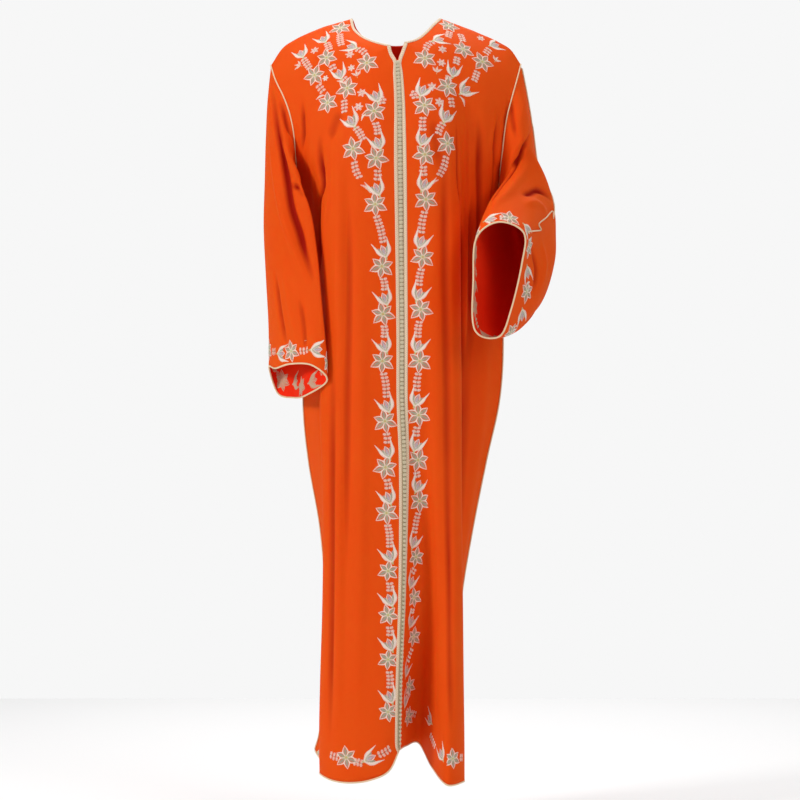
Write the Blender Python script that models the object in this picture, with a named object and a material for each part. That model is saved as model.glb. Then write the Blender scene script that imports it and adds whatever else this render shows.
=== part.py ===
"""A full-length kaftan in the form it takes when worn: two fronts closed down the middle by a row of
knotted buttons, a back, and two wide sleeves, one hanging and one raised with its cuff forward.
+Z is up, -Y is the front, +X is the wearer's left. The origin is midway between the shoulders."""

import bpy
import bmesh
import numpy as np

# Sizes in millimetres
MM = 0.001
CLOTH = 1.8
PIPING = 2.6
PIPING_ROOM = 0.5
PIPING_LIFT = 0.9
SEAM_ROOM = PIPING / 2 + PIPING_ROOM
SEAM_GAP = 0.2
BRAID_FROM = 5.0
BRAID_TO = 12.0
BRAID_THICK = 1.2
NECK_BRAID = 5.0
BAND_HALF = 4.6
BAND_THICK = 2.0
TRIM_GAP = 0.4
CUFF_GAP = 1.1
PIPING_SIDES = 5

# Rows down the body: half steps of the section tables, underarm at row 12 and hem at row 32
ROWS = np.arange(0, 16.01, 0.5)
UNDERARM = 12
NECK_CORNER = 4
NECK_V = 6
ARMHOLE_POINTS = 24
ARMHOLE_HALF = 12
BACK_COLUMNS = 24
LIFT_FROM = -900
BACK_LOWEST = -1462
BACK_HEM = -1400
BLADES = 22
NECK_COLUMNS = 8
SEAM_COLUMNS = 8

# Wearer's left front. Columns: front edge, 2 across the breast, valley wall, front crest, crest edge,
# trough behind it, second crest, side panel, side edge. Rows: shoulder seam down to the underarm.
LEFT_YOKE = [
    [(82, 0, 3), (99, 0, -3), (115, 0, -9), (131, 0, -15), (147, 0, -21), (163, 0, -28), (180, 0, -35),
     (198, 0, -44), (220, 1, -58), (239, 2, -86)],
    [(52, -56, -33), (74, -60, -41), (94, -61, -49), (112, -60, -57), (129, -57, -64), (145, -54, -72),
     (161, -51, -80), (181, -45, -89), (205, -34, -102), (230, -22, -120)],
    [(14, -84, -53), (39, -90, -70), (61, -93, -82), (83, -93, -94), (104, -90, -105), (124, -84, -113),
     (144, -78, -120), (167, -69, -129), (193, -54, -139), (221, -36, -152)],
    [(1, -98, -89), (30, -109, -112), (53, -115, -127), (78, -116, -140), (101, -110, -149),
     (121, -99, -156), (140, -90, -162), (164, -80, -170), (189, -63, -176), (212, -45, -186)],
    [(5, -124, -162), (33, -132, -178), (57, -136, -189), (81, -133, -198), (102, -125, -205),
     (118, -108, -210), (132, -90, -212), (158, -84, -217), (184, -66, -220), (206, -46, -224)],
    [(6, -142, -237), (32, -148, -244), (57, -149, -252), (81, -143, -258), (103, -132, -261),
     (117, -110, -263), (128, -84, -263), (154, -76, -264), (179, -58, -265), (202, -34, -265)],
    [(7, -148, -318), (33, -150, -319), (59, -149, -320), (82, -144, -320), (104, -132, -319),
     (118, -108, -318), (126, -74, -315), (150, -62, -314), (176, -40, -313), (198, 0, -310)],
]
# Below the underarm: height, then (x, y) in the same columns
LEFT_SKIRT = [
    (-400, [(8, -144), (34, -146), (59, -145), (82, -141), (105, -131), (120, -107), (122, -66),
            (143, -48), (169, -20), (193, 20)]),
    (-500, [(9, -140), (35, -143), (59, -143), (83, -139), (106, -130), (121, -105), (118, -58),
            (137, -34), (168, -6), (198, 32)]),
    (-620, [(10, -139), (35, -142), (60, -142), (84, -139), (107, -130), (122, -105), (115, -54),
            (137, -26), (174, 2), (206, 38)]),
    (-734, [(10, -140), (34, -139), (58, -137), (83, -139), (107, -131), (123, -106), (114, -52),
            (134, -22), (168, 4), (199, 38)]),
    (-850, [(14, -141), (35, -131), (57, -126), (82, -135), (106, -131), (123, -107), (114, -52),
            (126, -18), (150, 8), (174, 38)]),
    (-985, [(14, -143), (34, -119), (55, -110), (80, -127), (104, -133), (124, -108), (116, -54),
            (120, -16), (134, 10), (147, 38)]),
    (-1120, [(12, -144), (30, -104), (51, -92), (77, -117), (102, -136), (125, -110), (118, -56),
             (115, -16), (118, 12), (125, 40)]),
    (-1260, [(7, -143), (22, -84), (46, -62), (69, -103), (98, -142), (126, -112), (120, -56),
             (114, -14), (112, 14), (115, 42)]),
    (-1370, [(5, -141), (18, -66), (44, -36), (66, -92), (95, -147), (127, -113), (122, -56),
             (115, -12), (112, 16), (114, 44)]),
]
LEFT_HEM = [(5, -139, -1392), (18, -62, -1393), (42, -26, -1392), (66, -90, -1430), (94, -150, -1457),
            (127, -114, -1455), (123, -56, -1456), (116, -12, -1458), (113, 18, -1459), (116, 46, -1462)]

# Wearer's right front. Columns: front edge, 3 across, front crest, crest edge, trough, side panel, side edge.
RIGHT_YOKE = [
    [(-86, 0, 2), (-104, 0, -3), (-121, 0, -8), (-139, 0, -13), (-157, 0, -20), (-176, 0, -28),
     (-196, 0, -38), (-221, 1, -55), (-243, 2, -88)],
    [(-63, -50, -38), (-85, -56, -44), (-105, -57, -52), (-125, -56, -59), (-146, -54, -68),
     (-167, -50, -78), (-189, -44, -88), (-211, -35, -101), (-233, -26, -119)],
    [(-12, -85, -59), (-39, -92, -74), (-65, -94, -88), (-90, -92, -100), (-115, -87, -110),
     (-139, -80, -120), (-165, -71, -130), (-192, -60, -141), (-217, -48, -153)],
    [(0, -98, -89), (-31, -111, -114), (-59, -116, -132), (-85, -114, -145), (-110, -106, -156),
     (-134, -97, -165), (-158, -87, -173), (-182, -76, -180), (-205, -62, -186)],
    [(5, -124, -162), (-27, -135, -181), (-57, -139, -195), (-84, -136, -204), (-108, -126, -211),
     (-128, -114, -216), (-150, -103, -220), (-173, -88, -223), (-197, -66, -224)],
    [(6, -142, -237), (-27, -150, -248), (-58, -152, -258), (-87, -147, -264), (-110, -136, -267),
     (-131, -120, -268), (-151, -106, -269), (-171, -84, -269), (-194, -48, -266)],
    [(7, -148, -318), (-27, -152, -318), (-58, -152, -317), (-88, -146, -316), (-112, -135, -315),
     (-135, -117, -313), (-150, -96, -312), (-164, -62, -309), (-192, 0, -305)],
]
RIGHT_SKIRT = [
    (-400, [(8, -144), (-27, -149), (-58, -150), (-89, -146), (-115, -136), (-143, -112), (-141, -68),
            (-155, -30), (-181, 22)]),
    (-500, [(9, -140), (-27, -146), (-58, -148), (-90, -145), (-117, -135), (-139, -108), (-135, -62),
            (-147, -20), (-173, 32)]),
    (-620, [(10, -139), (-26, -145), (-58, -147), (-90, -145), (-117, -134), (-136, -106), (-132, -58),
            (-147, -12), (-173, 42)]),
    (-734, [(10, -140), (-26, -145), (-58, -147), (-91, -145), (-121, -133), (-146, -104), (-139, -56),
            (-156, -8), (-182, 45)]),
    (-850, [(14, -141), (-23, -146), (-56, -148), (-90, -146), (-120, -134), (-143, -104), (-137, -56),
            (-150, -8), (-172, 47)]),
    (-985, [(14, -143), (-23, -147), (-56, -149), (-90, -146), (-119, -134), (-140, -103), (-135, -56),
            (-138, -8), (-149, 48)]),
    (-1120, [(12, -144), (-23, -149), (-56, -150), (-90, -147), (-120, -134), (-141, -102), (-136, -54),
             (-134, -8), (-139, 48)]),
    (-1260, [(7, -143), (-25, -151), (-58, -152), (-92, -148), (-123, -134), (-145, -100), (-141, -52),
             (-138, -8), (-141, 46)]),
    (-1370, [(5, -141), (-25, -152), (-58, -153), (-92, -149), (-124, -134), (-147, -100), (-144, -52),
             (-142, -8), (-149, 42)]),
]
RIGHT_HEM = [(5, -139, -1392), (-15, -150, -1431), (-51, -153, -1448), (-90, -150, -1453),
             (-123, -135, -1450), (-146, -100, -1442), (-144, -52, -1440), (-146, -8, -1430), (-159, 38, -1412)]

# Neck edge from the shoulder to the front corner, then the slit down to where the fronts meet
NECK_RIGHT = [(-86, 0, 2), (-80, -24, -21), (-63, -50, -39), (-39, -70, -51), (-12, -85, -59)]
NECK_LEFT = [(82, 0, 3), (68, -28, -13), (52, -52, -32), (36, -68, -45), (14, -84, -53)]
SLIT_RIGHT = [(-12, -85, -59), (-8, -91, -74), (1, -98, -89)]
SLIT_LEFT = [(14, -84, -53), (9, -91, -68), (1, -98, -89)]
BACK_NECK = [(-86, 0, 2), (-76, 28, -19), (-48, 48, -37), (-2, 55, -45), (44, 48, -37), (72, 28, -19),
             (82, 0, 3)]

# Back half of each armhole, from the shoulder to the underarm
BACK_ARMHOLE_RIGHT = [(-243, 2, -88), (-238, 34, -116), (-230, 56, -150), (-221, 68, -190), (-211, 66, -228),
                      (-201, 44, -266), (-192, 0, -305)]
BACK_ARMHOLE_LEFT = [(239, 2, -86), (232, 35, -115), (224, 56, -150), (216, 68, -190), (209, 64, -230),
                     (203, 42, -270), (198, 0, -310)]

# Back: height and how far back the middle of it stands
BACK_DEPTH = [(-1470, 124), (-1370, 121), (-1120, 118), (-850, 121), (-734, 121), (-620, 112), (-500, 101),
              (-400, 103), (-318, 110)]
# Soft folds down the back: place across (0 wearer's right, 1 left), half width, depth at the hem, top height
BACK_FOLDS = [
    (0.12, 0.045, 10, -330),
    (0.23, 0.050, -13, -420),
    (0.35, 0.045, 15, -300),
    (0.47, 0.050, -14, -380),
    (0.58, 0.045, 13, -460),
    (0.69, 0.050, -12, -330),
    (0.80, 0.045, 14, -400),
    (0.90, 0.040, -9, -520),
]

# Hanging sleeve, wearer's right. Rings down the arm, each: outer, outer front, front, inner front, inner,
# inner back, back, outer back.
HANGING = [
    [(-249, 0, -150), (-244, -40, -184), (-225, -76, -228), (-198, -80, -272), (-212, -10, -322),
     (-216, 44, -280), (-226, 62, -225), (-242, 42, -176)],
    [(-253, 0, -230), (-244, -48, -254), (-220, -88, -286), (-182, -102, -322), (-192, -52, -370),
     (-205, 20, -340), (-220, 54, -293), (-243, 42, -252)],
    [(-255, -1, -310), (-244, -54, -326), (-214, -97, -346), (-164, -118, -376), (-168, -84, -424),
     (-195, 0, -404), (-216, 46, -367), (-243, 40, -331)],
    [(-257, -3, -400), (-244, -58, -408), (-210, -101, -420), (-158, -126, -440), (-152, -108, -478),
     (-184, -26, -468), (-210, 32, -448), (-242, 36, -422)],
    [(-253, -6, -490), (-240, -60, -494), (-208, -102, -500), (-156, -130, -510), (-144, -122, -540),
     (-176, -52, -542), (-206, 18, -534), (-239, 32, -514)],
    [(-248, -8, -580), (-235, -62, -582), (-205, -104, -583), (-156, -134, -590), (-136, -130, -613),
     (-172, -70, -641), (-201, 2, -640), (-235, 28, -619)],
    [(-247, -9, -630), (-233, -63, -631), (-203, -105, -627), (-157, -139, -631), (-132, -132, -655),
     (-171, -84, -691), (-199, -6, -692), (-233, 27, -676)],
    [(-247, -9, -670), (-232, -63, -672), (-202, -106, -664), (-160, -140, -667), (-131, -133, -695),
     (-171, -93, -723), (-198, -12, -728), (-231, 26, -719)],
]
# Raised sleeve, wearer's left, in the same columns: down to the elbow, then forward to the cuff
RAISED = [
    [(250, 5, -140), (246, -34, -168), (231, -58, -208), (214, -52, -258), (221, 2, -322),
     (228, 46, -266), (238, 60, -210), (248, 38, -161)],
    [(262, 6, -209), (254, -36, -218), (238, -63, -238), (213, -52, -280), (220, 4, -340),
     (234, 50, -304), (246, 62, -260), (262, 38, -222)],
    [(270, 9, -274), (261, -34, -255), (242, -58, -256), (209, -52, -302), (214, 4, -356),
     (236, 48, -350), (257, 62, -331), (274, 42, -297)],
    [(301, 22, -344), (279, -22, -297), (236, -54, -279), (204, -52, -322), (205, -4, -372),
     (231, 34, -418), (272, 56, -417), (301, 46, -382)],
    [(301, 0, -385), (270, -52, -334), (219, -76, -305), (194, -74, -340), (191, -48, -403),
     (220, -10, -480), (281, 16, -489), (306, 12, -434)],
    [(289, -52, -413), (262, -100, -362), (204, -122, -336), (172, -124, -368), (169, -108, -445),
     (194, -78, -550), (266, -50, -561), (302, -36, -472)],
    [(266, -115, -446), (252, -148, -393), (197, -166, -368), (158, -172, -398), (153, -162, -477),
     (166, -138, -589), (234, -112, -599), (279, -100, -519)],
    [(247, -160, -462), (245, -180, -410), (193, -194, -390), (151, -202, -419), (145, -198, -496),
     (153, -182, -602), (208, -162, -613), (240, -152, -550)],
    [(235, -190, -478), (238, -198, -421), (190, -208, -401), (148, -216, -431), (142, -216, -508),
     (145, -206, -603), (192, -192, -616), (215, -188, -565)],
]
HANGING_RINGS = np.arange(0.5, 8.01, 0.5)
RAISED_RINGS = np.concatenate([[0.5, 1, 2], np.arange(3, 9.01, 0.5)])
SLEEVE_SEAM = {"right": 22, "left": 0}

CLOTH_COLOUR = (0.76, 0.085, 0.008)
CREAM = (0.88, 0.72, 0.50)
BUTTON_GOLD = (0.50, 0.46, 0.27)


def along(points, at, closed=False):
    """Points on the smooth curve through the given ones, at places counted in steps between them."""
    p = np.asarray(points, float)
    at = np.asarray(at, float)
    n = len(p)
    if closed:
        i = np.floor(at).astype(int) % n
        before, after, far = (i - 1) % n, (i + 1) % n, (i + 2) % n
        f = at - np.floor(at)
        start = (p[after] - p[before]) / 2
        end = (p[far] - p[i]) / 2
    else:
        i = np.clip(np.floor(at).astype(int), 0, n - 2)
        after = i + 1
        f = at - i
        tangent = np.gradient(p, axis=0)
        start, end = tangent[i], tangent[after]
    f = f.reshape((-1,) + (1,) * (p.ndim - 1))
    a = 2 * f**3 - 3 * f**2 + 1
    b = f**3 - 2 * f**2 + f
    c = -2 * f**3 + 3 * f**2
    d = f**3 - f**2
    return a * p[i] + b * start + c * p[after] + d * end


def unit(v):
    return v / np.maximum(np.linalg.norm(v, axis=-1, keepdims=True), 1e-9)


def sections(yoke, skirt, hem):
    return np.array(yoke + [[(x, y, z) for x, y in row] for z, row in skirt] + [hem], float)


def front(net, neck, slit, centre):
    """The outer surface of one front, 33 rows down; its first columns follow the front edge."""
    rows = along(net, ROWS)
    columns = rows.shape[1]
    edge = rows[:, 0].copy()
    edge[: NECK_CORNER + 1] = along(neck, np.linspace(0, 4, NECK_CORNER + 1))
    edge[NECK_CORNER : NECK_V + 1] = slit
    edge[NECK_V:] = centre
    at = np.arange(1, columns - 0.9, 0.5)
    across = along(rows.swapaxes(0, 1), np.concatenate([[0], at])).swapaxes(0, 1)
    shift = edge - across[:, 0]
    fade = np.clip(1 - (at - 0.6) / 1.5, 0, 1) ** 2 * 0.9
    body = across[:, 1:] + shift[:, None] * fade[None, :, None]
    step = unit(body[:, 0] - edge)
    near = [edge, edge + step * BRAID_FROM, edge + step * BRAID_TO]
    return np.concatenate([np.stack(near, axis=1), body], axis=1)


def back(right_side, left_side, right_seam, left_seam):
    """The outer surface of the back, from the wearer's right to the left, in the same rows."""
    u = np.linspace(0, 1, BACK_COLUMNS + 1)
    grid = np.zeros((len(ROWS), BACK_COLUMNS + 1, 3))
    near, far = SEAM_COLUMNS, SEAM_COLUMNS + NECK_COLUMNS
    grid[0, : near + 1] = along(right_seam[::-1], np.linspace(0, len(right_seam) - 1, near + 1))
    grid[0, near : far + 1] = along(BACK_NECK, np.linspace(0, 6, NECK_COLUMNS + 1))
    grid[0, far:] = along(left_seam, np.linspace(0, len(left_seam) - 1, near + 1))
    heights, depths = np.array(BACK_DEPTH, float).T
    for r in range(UNDERARM, len(ROWS)):
        a, b = right_side[r], left_side[r]
        level = min(a[2], b[2])
        line = a + (b - a) * u[:, None]
        arch = np.clip(4 * u * (1 - u), 0, 1) ** 0.62
        line[:, 1] += (np.interp(level, heights, depths) - line[:, 1]) * arch
        line[:, 2] = level + (a[2] - level) * (1 - u) ** 8 + (b[2] - level) * u**8
        for place, half, deep, top in BACK_FOLDS:
            grown = np.clip((top - level) / (top + 1460), 0, 1)
            line[:, 1] += deep * grown * np.exp(-(((u - place) / half) ** 2))
        if level < LIFT_FROM:
            spare = (level - LIFT_FROM) / (BACK_LOWEST - LIFT_FROM)
            share = np.interp(u, [0, 0.1, 0.72, 0.9, 1], [0, 1, 1, 0.25, 0])
            line[:, 2] += (BACK_HEM - BACK_LOWEST) * spare * share
        grid[r] = line
    v = np.arange(UNDERARM + 1) / UNDERARM
    top, bottom = grid[0], grid[UNDERARM]
    a, b = right_side[: UNDERARM + 1], left_side[: UNDERARM + 1]
    for r in range(1, UNDERARM):
        line = (1 - v[r]) * top + v[r] * bottom
        line = line + (1 - u[:, None]) ** 3 * (a[r] - line[0]) + u[:, None] ** 3 * (b[r] - line[-1])
        line[:, 1] += BLADES * np.sin(np.pi * v[r]) * np.sin(np.pi * u) ** 0.7
        grid[r] = line
    grid[: UNDERARM + 1, 0] = a
    grid[: UNDERARM + 1, -1] = b
    for _ in range(14):
        inner = (grid[:-2, 1:-1] + grid[2:, 1:-1] + grid[1:-1, :-2] + grid[1:-1, 2:]) / 4
        weight = np.clip((UNDERARM + 3 - np.arange(1, len(ROWS) - 1)) / 3, 0, 1)[:, None, None] * 0.5
        grid[1:-1, 1:-1] += (inner - grid[1:-1, 1:-1]) * weight
    return grid


def sleeve(armhole, rings, at):
    """The outer surface of a sleeve: its first ring is the armhole, the others follow the arm."""
    places = np.linspace(0, 8, ARMHOLE_POINTS, endpoint=False)
    control = [armhole] + [along(ring, places, closed=True) for ring in rings]
    return np.concatenate([armhole[None], along(np.array(control), at)])


def normals(grid, sign, closed=False):
    if closed:
        across = np.roll(grid, -1, axis=1) - np.roll(grid, 1, axis=1)
    else:
        across = np.gradient(grid, axis=1)
    down = np.gradient(grid, axis=0)
    return unit(np.cross(across, down) * sign)


def seam_normal(*several):
    return unit(np.sum(several, axis=0))


def inward(edge, inside, own, closed=False):
    """From each point of an edge, the way into its panel, square to the edge."""
    if closed:
        way = unit(np.roll(edge, -1, axis=0) - np.roll(edge, 1, axis=0))
    else:
        way = unit(np.gradient(edge, axis=0))
    step = unit(np.cross(own, way))
    return step * np.where(np.sum(step * (inside - edge), axis=-1, keepdims=True) < 0, -1, 1)


def pulled(edge, inside, shared, own, room, closed=False):
    """The edge moved into its panel, until it stands that far to the side of the seam."""
    step = inward(edge, inside, own, closed)
    aside = step - shared * np.sum(step * shared, axis=-1, keepdims=True)
    share = np.maximum(np.linalg.norm(aside, axis=-1, keepdims=True), 0.3)
    return edge + step * room / share


def onward(grid, closed=False):
    """From each point of a panel's last row, the way out over its edge, square to the edge."""
    edge = grid[-1]
    if closed:
        way = unit(np.roll(edge, -1, axis=0) - np.roll(edge, 1, axis=0))
    else:
        way = unit(np.gradient(edge, axis=0))
    step = unit(edge - grid[-2])
    square = unit(step - way * np.sum(step * way, axis=-1, keepdims=True))
    return unit(step + square) if closed else square


def wall(outer, shared, own, thickness):
    """The inner face: each point moved in along its shared normal, so that edges stay square to seams."""
    lean = np.maximum(np.sum(shared * own, axis=-1, keepdims=True), 0.6)
    return outer - shared * thickness / lean


def solid(name, outer, inner, closed=False):
    """A closed wall between two grids of points."""
    rows, columns = outer.shape[:2]
    points = np.concatenate([outer.reshape(-1, 3), inner.reshape(-1, 3)]) * MM
    lower = rows * columns
    faces = []
    for i in range(rows - 1):
        for j in range(columns if closed else columns - 1):
            a, b = i * columns + j, i * columns + (j + 1) % columns
            c, d = b + columns, a + columns
            faces += [(a, b, c), (a, c, d)]
            faces += [(a + lower, c + lower, b + lower), (a + lower, d + lower, c + lower)]
    rims = [[i * columns + j for j in range(columns)] for i in (0, rows - 1)]
    if not closed:
        rims += [[i * columns + j for i in range(rows)] for j in (0, columns - 1)]
    for number, rim in enumerate(rims):
        ends = rim + [rim[0]] if closed else rim
        for a, b in zip(ends, ends[1:]):
            flip = number in (0, 3)
            quad = (b, a, a + lower, b + lower) if flip else (a, b, b + lower, a + lower)
            faces += [quad[:3], (quad[0], quad[2], quad[3])]
    return make(name, points, faces)


def tube(name, centres, out, radius, closed=False):
    """Round piping along a line of points, with its first corner turned to the given outward directions."""
    centres = np.asarray(centres, float)
    if closed:
        way = unit(np.roll(centres, -1, axis=0) - np.roll(centres, 1, axis=0))
    else:
        way = unit(np.gradient(centres, axis=0))
    out = unit(out - way * np.sum(out * way, axis=1, keepdims=True))
    aside = np.cross(way, out)
    turn = np.arange(PIPING_SIDES) * 2 * np.pi / PIPING_SIDES
    ring = out[:, None] * np.cos(turn)[None, :, None] + aside[:, None] * np.sin(turn)[None, :, None]
    points = (centres[:, None] + ring * radius).reshape(-1, 3) * MM
    n, k = len(centres), PIPING_SIDES
    faces = []
    for i in range(n if closed else n - 1):
        for j in range(k):
            a, b = i * k + j, i * k + (j + 1) % k
            c, d = (b + k) % (n * k), (a + k) % (n * k)
            faces += [(a, b, c), (a, c, d)]
    if not closed:
        faces += [(0, j + 1, j) for j in range(1, k - 1)]
        faces += [((n - 1) * k, (n - 1) * k + j, (n - 1) * k + j + 1) for j in range(1, k - 1)]
    return make(name, points, faces)


def strip(name, base, out, own, gap, thickness):
    """A flat trim over a panel: the panel's own points, moved out past a small gap."""
    lean = np.maximum(np.sum(out * own, axis=-1, keepdims=True), 0.6)
    return solid(name, base + out * (gap + thickness) / lean, base + out * gap / lean)


def make(name, points, faces):
    mesh = bpy.data.meshes.new(name)
    mesh.from_pydata([tuple(p) for p in points], [], faces)
    tidy = bmesh.new()
    tidy.from_mesh(mesh)
    bmesh.ops.recalc_face_normals(tidy, faces=tidy.faces)
    tidy.to_mesh(mesh)
    tidy.free()
    obj = bpy.data.objects.new(name, mesh)
    bpy.context.scene.collection.objects.link(obj)
    return obj


def coloured(objects, name, colour, roughness):
    material = bpy.data.materials.new(name)
    material.use_nodes = True
    shader = material.node_tree.nodes["Principled BSDF"]
    shader.inputs["Base Color"].default_value = (*colour, 1.0)
    shader.inputs["Roughness"].default_value = roughness
    shader.inputs["Metallic"].default_value = 0.0
    for obj in objects:
        own = material.copy()
        own.name = obj.name + "_" + name
        obj.data.materials.append(own)


for old in list(bpy.data.objects):
    bpy.data.objects.remove(old)

# Outer surfaces
left_net = sections(LEFT_YOKE, LEFT_SKIRT, LEFT_HEM)
centre = along(left_net[3:, 0], ROWS[NECK_V:] - 3)
front_left = front(left_net, NECK_LEFT, SLIT_LEFT, centre)
front_right = front(sections(RIGHT_YOKE, RIGHT_SKIRT, RIGHT_HEM), NECK_RIGHT, SLIT_RIGHT, centre)
right_side = front_right[:, -1].copy()
left_side = front_left[:, -1].copy()
armhole_rows = np.linspace(0, 6, UNDERARM + 1)
right_side[: UNDERARM + 1] = along(BACK_ARMHOLE_RIGHT, armhole_rows)
left_side[: UNDERARM + 1] = along(BACK_ARMHOLE_LEFT, armhole_rows)
back_panel = back(right_side, left_side, RIGHT_YOKE[0], LEFT_YOKE[0])
hole_right = np.concatenate([front_right[: UNDERARM + 1, -1], right_side[UNDERARM - 1 : 0 : -1]])
hole_left = np.concatenate([front_left[: UNDERARM + 1, -1], left_side[UNDERARM - 1 : 0 : -1]])
sleeve_right = sleeve(hole_right, HANGING, HANGING_RINGS)
sleeve_left = sleeve(hole_left, RAISED, RAISED_RINGS)

# Directions out of the cloth, and the shared ones along each seam
out_left = normals(front_left, -1)
out_right = normals(front_right, 1)
out_back = normals(back_panel, 1)
out_sleeve_right = normals(sleeve_right, -1, closed=True)
out_sleeve_left = normals(sleeve_left, 1, closed=True)
own_left, own_right, own_back = out_left.copy(), out_right.copy(), out_back.copy()
own_sleeve_right, own_sleeve_left = out_sleeve_right.copy(), out_sleeve_left.copy()
for panel, side, arm in ((out_left, -1, out_sleeve_left), (out_right, 0, out_sleeve_right)):
    rear = out_back[:, side]
    shared = seam_normal(panel[UNDERARM:, -1], rear[UNDERARM:])
    panel[UNDERARM:, -1] = shared
    rear[UNDERARM:] = shared
    down = seam_normal(panel[UNDERARM, -1], arm[0, ARMHOLE_HALF] * 1.5)
    fore = seam_normal(panel[:UNDERARM, -1], arm[0, :ARMHOLE_HALF])
    aft = seam_normal(rear[1:UNDERARM], arm[0, :ARMHOLE_HALF:-1])
    panel[:UNDERARM, -1] = fore
    rear[1:UNDERARM] = aft
    rear[0] = fore[0]
    panel[UNDERARM, -1] = down
    rear[UNDERARM] = down
    arm[0] = np.concatenate([fore, down[None], aft[::-1]])


def seam_up(points):
    """Straight up from the shoulder seam, square to it."""
    way = unit(np.gradient(points, axis=0))
    way = way * np.sign(way[:, :1])
    return unit(np.stack([-way[:, 2], np.zeros(len(way)), way[:, 0]], axis=1))


middle_out = seam_normal(own_left[NECK_V:, 0], own_right[NECK_V:, 0])
out_left[NECK_V:, 0] = middle_out
out_right[NECK_V:, 0] = middle_out
out_left[0, :-1] = seam_up(front_left[0])[:-1]
out_right[0, :-1] = seam_up(front_right[0])[:-1]
out_back[0, 1 : SEAM_COLUMNS + 1] = seam_up(back_panel[0, : SEAM_COLUMNS + 1])[1:]
out_back[0, -SEAM_COLUMNS - 1 : -1] = seam_up(back_panel[0, -SEAM_COLUMNS - 1 :])[:-1]

# Panels, with room for the piping in each seam
shells = []
hems = []
for name, grid, out, own in (
    ("front_left", front_left, out_left, own_left),
    ("front_right", front_right, out_right, own_right),
):
    cut = grid.copy()
    cut[:, -1] = pulled(grid[:, -1], grid[:, -2], out[:, -1], own[:, -1], SEAM_ROOM)
    cut[NECK_V:, 0] = pulled(grid[NECK_V:, 0], grid[NECK_V:, 1], middle_out, own[NECK_V:, 0], SEAM_GAP)
    cut[0] = pulled(cut[0], cut[1], out[0], own[0], SEAM_GAP)
    inner = wall(cut, out, own, CLOTH)
    shells.append(solid(name, cut, inner))
    hems.append(("hem_piping_" + name, cut, inner, own))
cut = back_panel.copy()
cut[:, 0] = pulled(back_panel[:, 0], back_panel[:, 1], out_back[:, 0], own_back[:, 0], SEAM_ROOM)
cut[:, -1] = pulled(back_panel[:, -1], back_panel[:, -2], out_back[:, -1], own_back[:, -1], SEAM_ROOM)
for span in (slice(0, SEAM_COLUMNS + 1), slice(-SEAM_COLUMNS - 1, None)):
    cut[0, span] = pulled(cut[0, span], cut[1, span], out_back[0, span], own_back[0, span], SEAM_GAP)
inner = wall(cut, out_back, own_back, CLOTH)
shells.append(solid("back", cut, inner))
hems.append(("hem_piping_back", cut, inner, own_back))
for name, grid, out, own in (
    ("sleeve_right", sleeve_right, out_sleeve_right, own_sleeve_right),
    ("sleeve_left", sleeve_left, out_sleeve_left, own_sleeve_left),
):
    cut = grid.copy()
    cut[0] = pulled(grid[0], grid[1], out[0], own[0], SEAM_ROOM, closed=True)
    shells.append(solid(name, cut, wall(cut, out, own, CLOTH), closed=True))
coloured(shells, "cloth", CLOTH_COLOUR, 0.55)

# Piping in the armholes and side seams
trims = []
for name, grid, out, own in (
    ("armhole_piping_right", sleeve_right, out_sleeve_right, own_sleeve_right),
    ("armhole_piping_left", sleeve_left, out_sleeve_left, own_sleeve_left),
):
    rise = np.sum(inward(grid[0], grid[1], own[0], closed=True) * out[0], axis=1, keepdims=True)
    lift = np.clip(PIPING_LIFT - 2 * rise, 0, PIPING_LIFT)
    trims.append(tube(name, grid[0] + out[0] * lift, out[0], PIPING / 2, closed=True))
for name, side, out in (
    ("side_piping_right", right_side, out_right),
    ("side_piping_left", left_side, out_left),
):
    line = side[UNDERARM:].copy()
    line[0] = line[0] + unit(line[1] - line[0]) * 5
    line[-1] = line[-1] - unit(line[-1] - line[-2]) * 1
    facing = out[UNDERARM:, -1].copy()
    facing[0] = facing[1]
    trims.append(tube(name, line + facing * PIPING_LIFT, facing, PIPING / 2))

# Piping down each sleeve, and round each cuff
for hand, grid, out, own in (
    ("right", sleeve_right, out_sleeve_right, own_sleeve_right),
    ("left", sleeve_left, out_sleeve_left, own_sleeve_left),
):
    line = SLEEVE_SEAM[hand]
    run = slice(2, len(grid))
    ends = grid[run, line] + own[run, line] * (PIPING / 2 + TRIM_GAP)
    ends[-1] = ends[-1] + unit(ends[-2] - ends[-1]) * 2
    trims.append(tube("sleeve_piping_" + hand, ends, own[run, line], PIPING / 2))
    middle = grid[-1] - own[-1] * CLOTH / 2
    edge = middle + onward(grid, closed=True) * (PIPING / 2 + CUFF_GAP)
    trims.append(tube("cuff_piping_" + hand, edge, own[-1], PIPING / 2, closed=True))

# Piping under the hem of each panel
for name, grid, inner, own in hems:
    line = (grid[-1] + inner[-1]) / 2 + onward(grid) * (PIPING / 2 + TRIM_GAP)
    line[0] = line[0] + unit(line[1] - line[0]) * 1.8
    line[-1] = line[-1] + unit(line[-2] - line[-1]) * 1.2
    trims.append(tube(name, line, own[-1], PIPING / 2))

# Flat braids: down both front edges, and round the neck
for name, grid, out, own in (
    ("placket_braid_right", front_right, out_right, own_right),
    ("placket_braid_left", front_left, out_left, own_left),
):
    run = slice(NECK_CORNER, len(ROWS))
    trims.append(strip(name, grid[run, 1:3], out[run, 1:3], own[run, 1:3], TRIM_GAP, BRAID_THICK))

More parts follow.
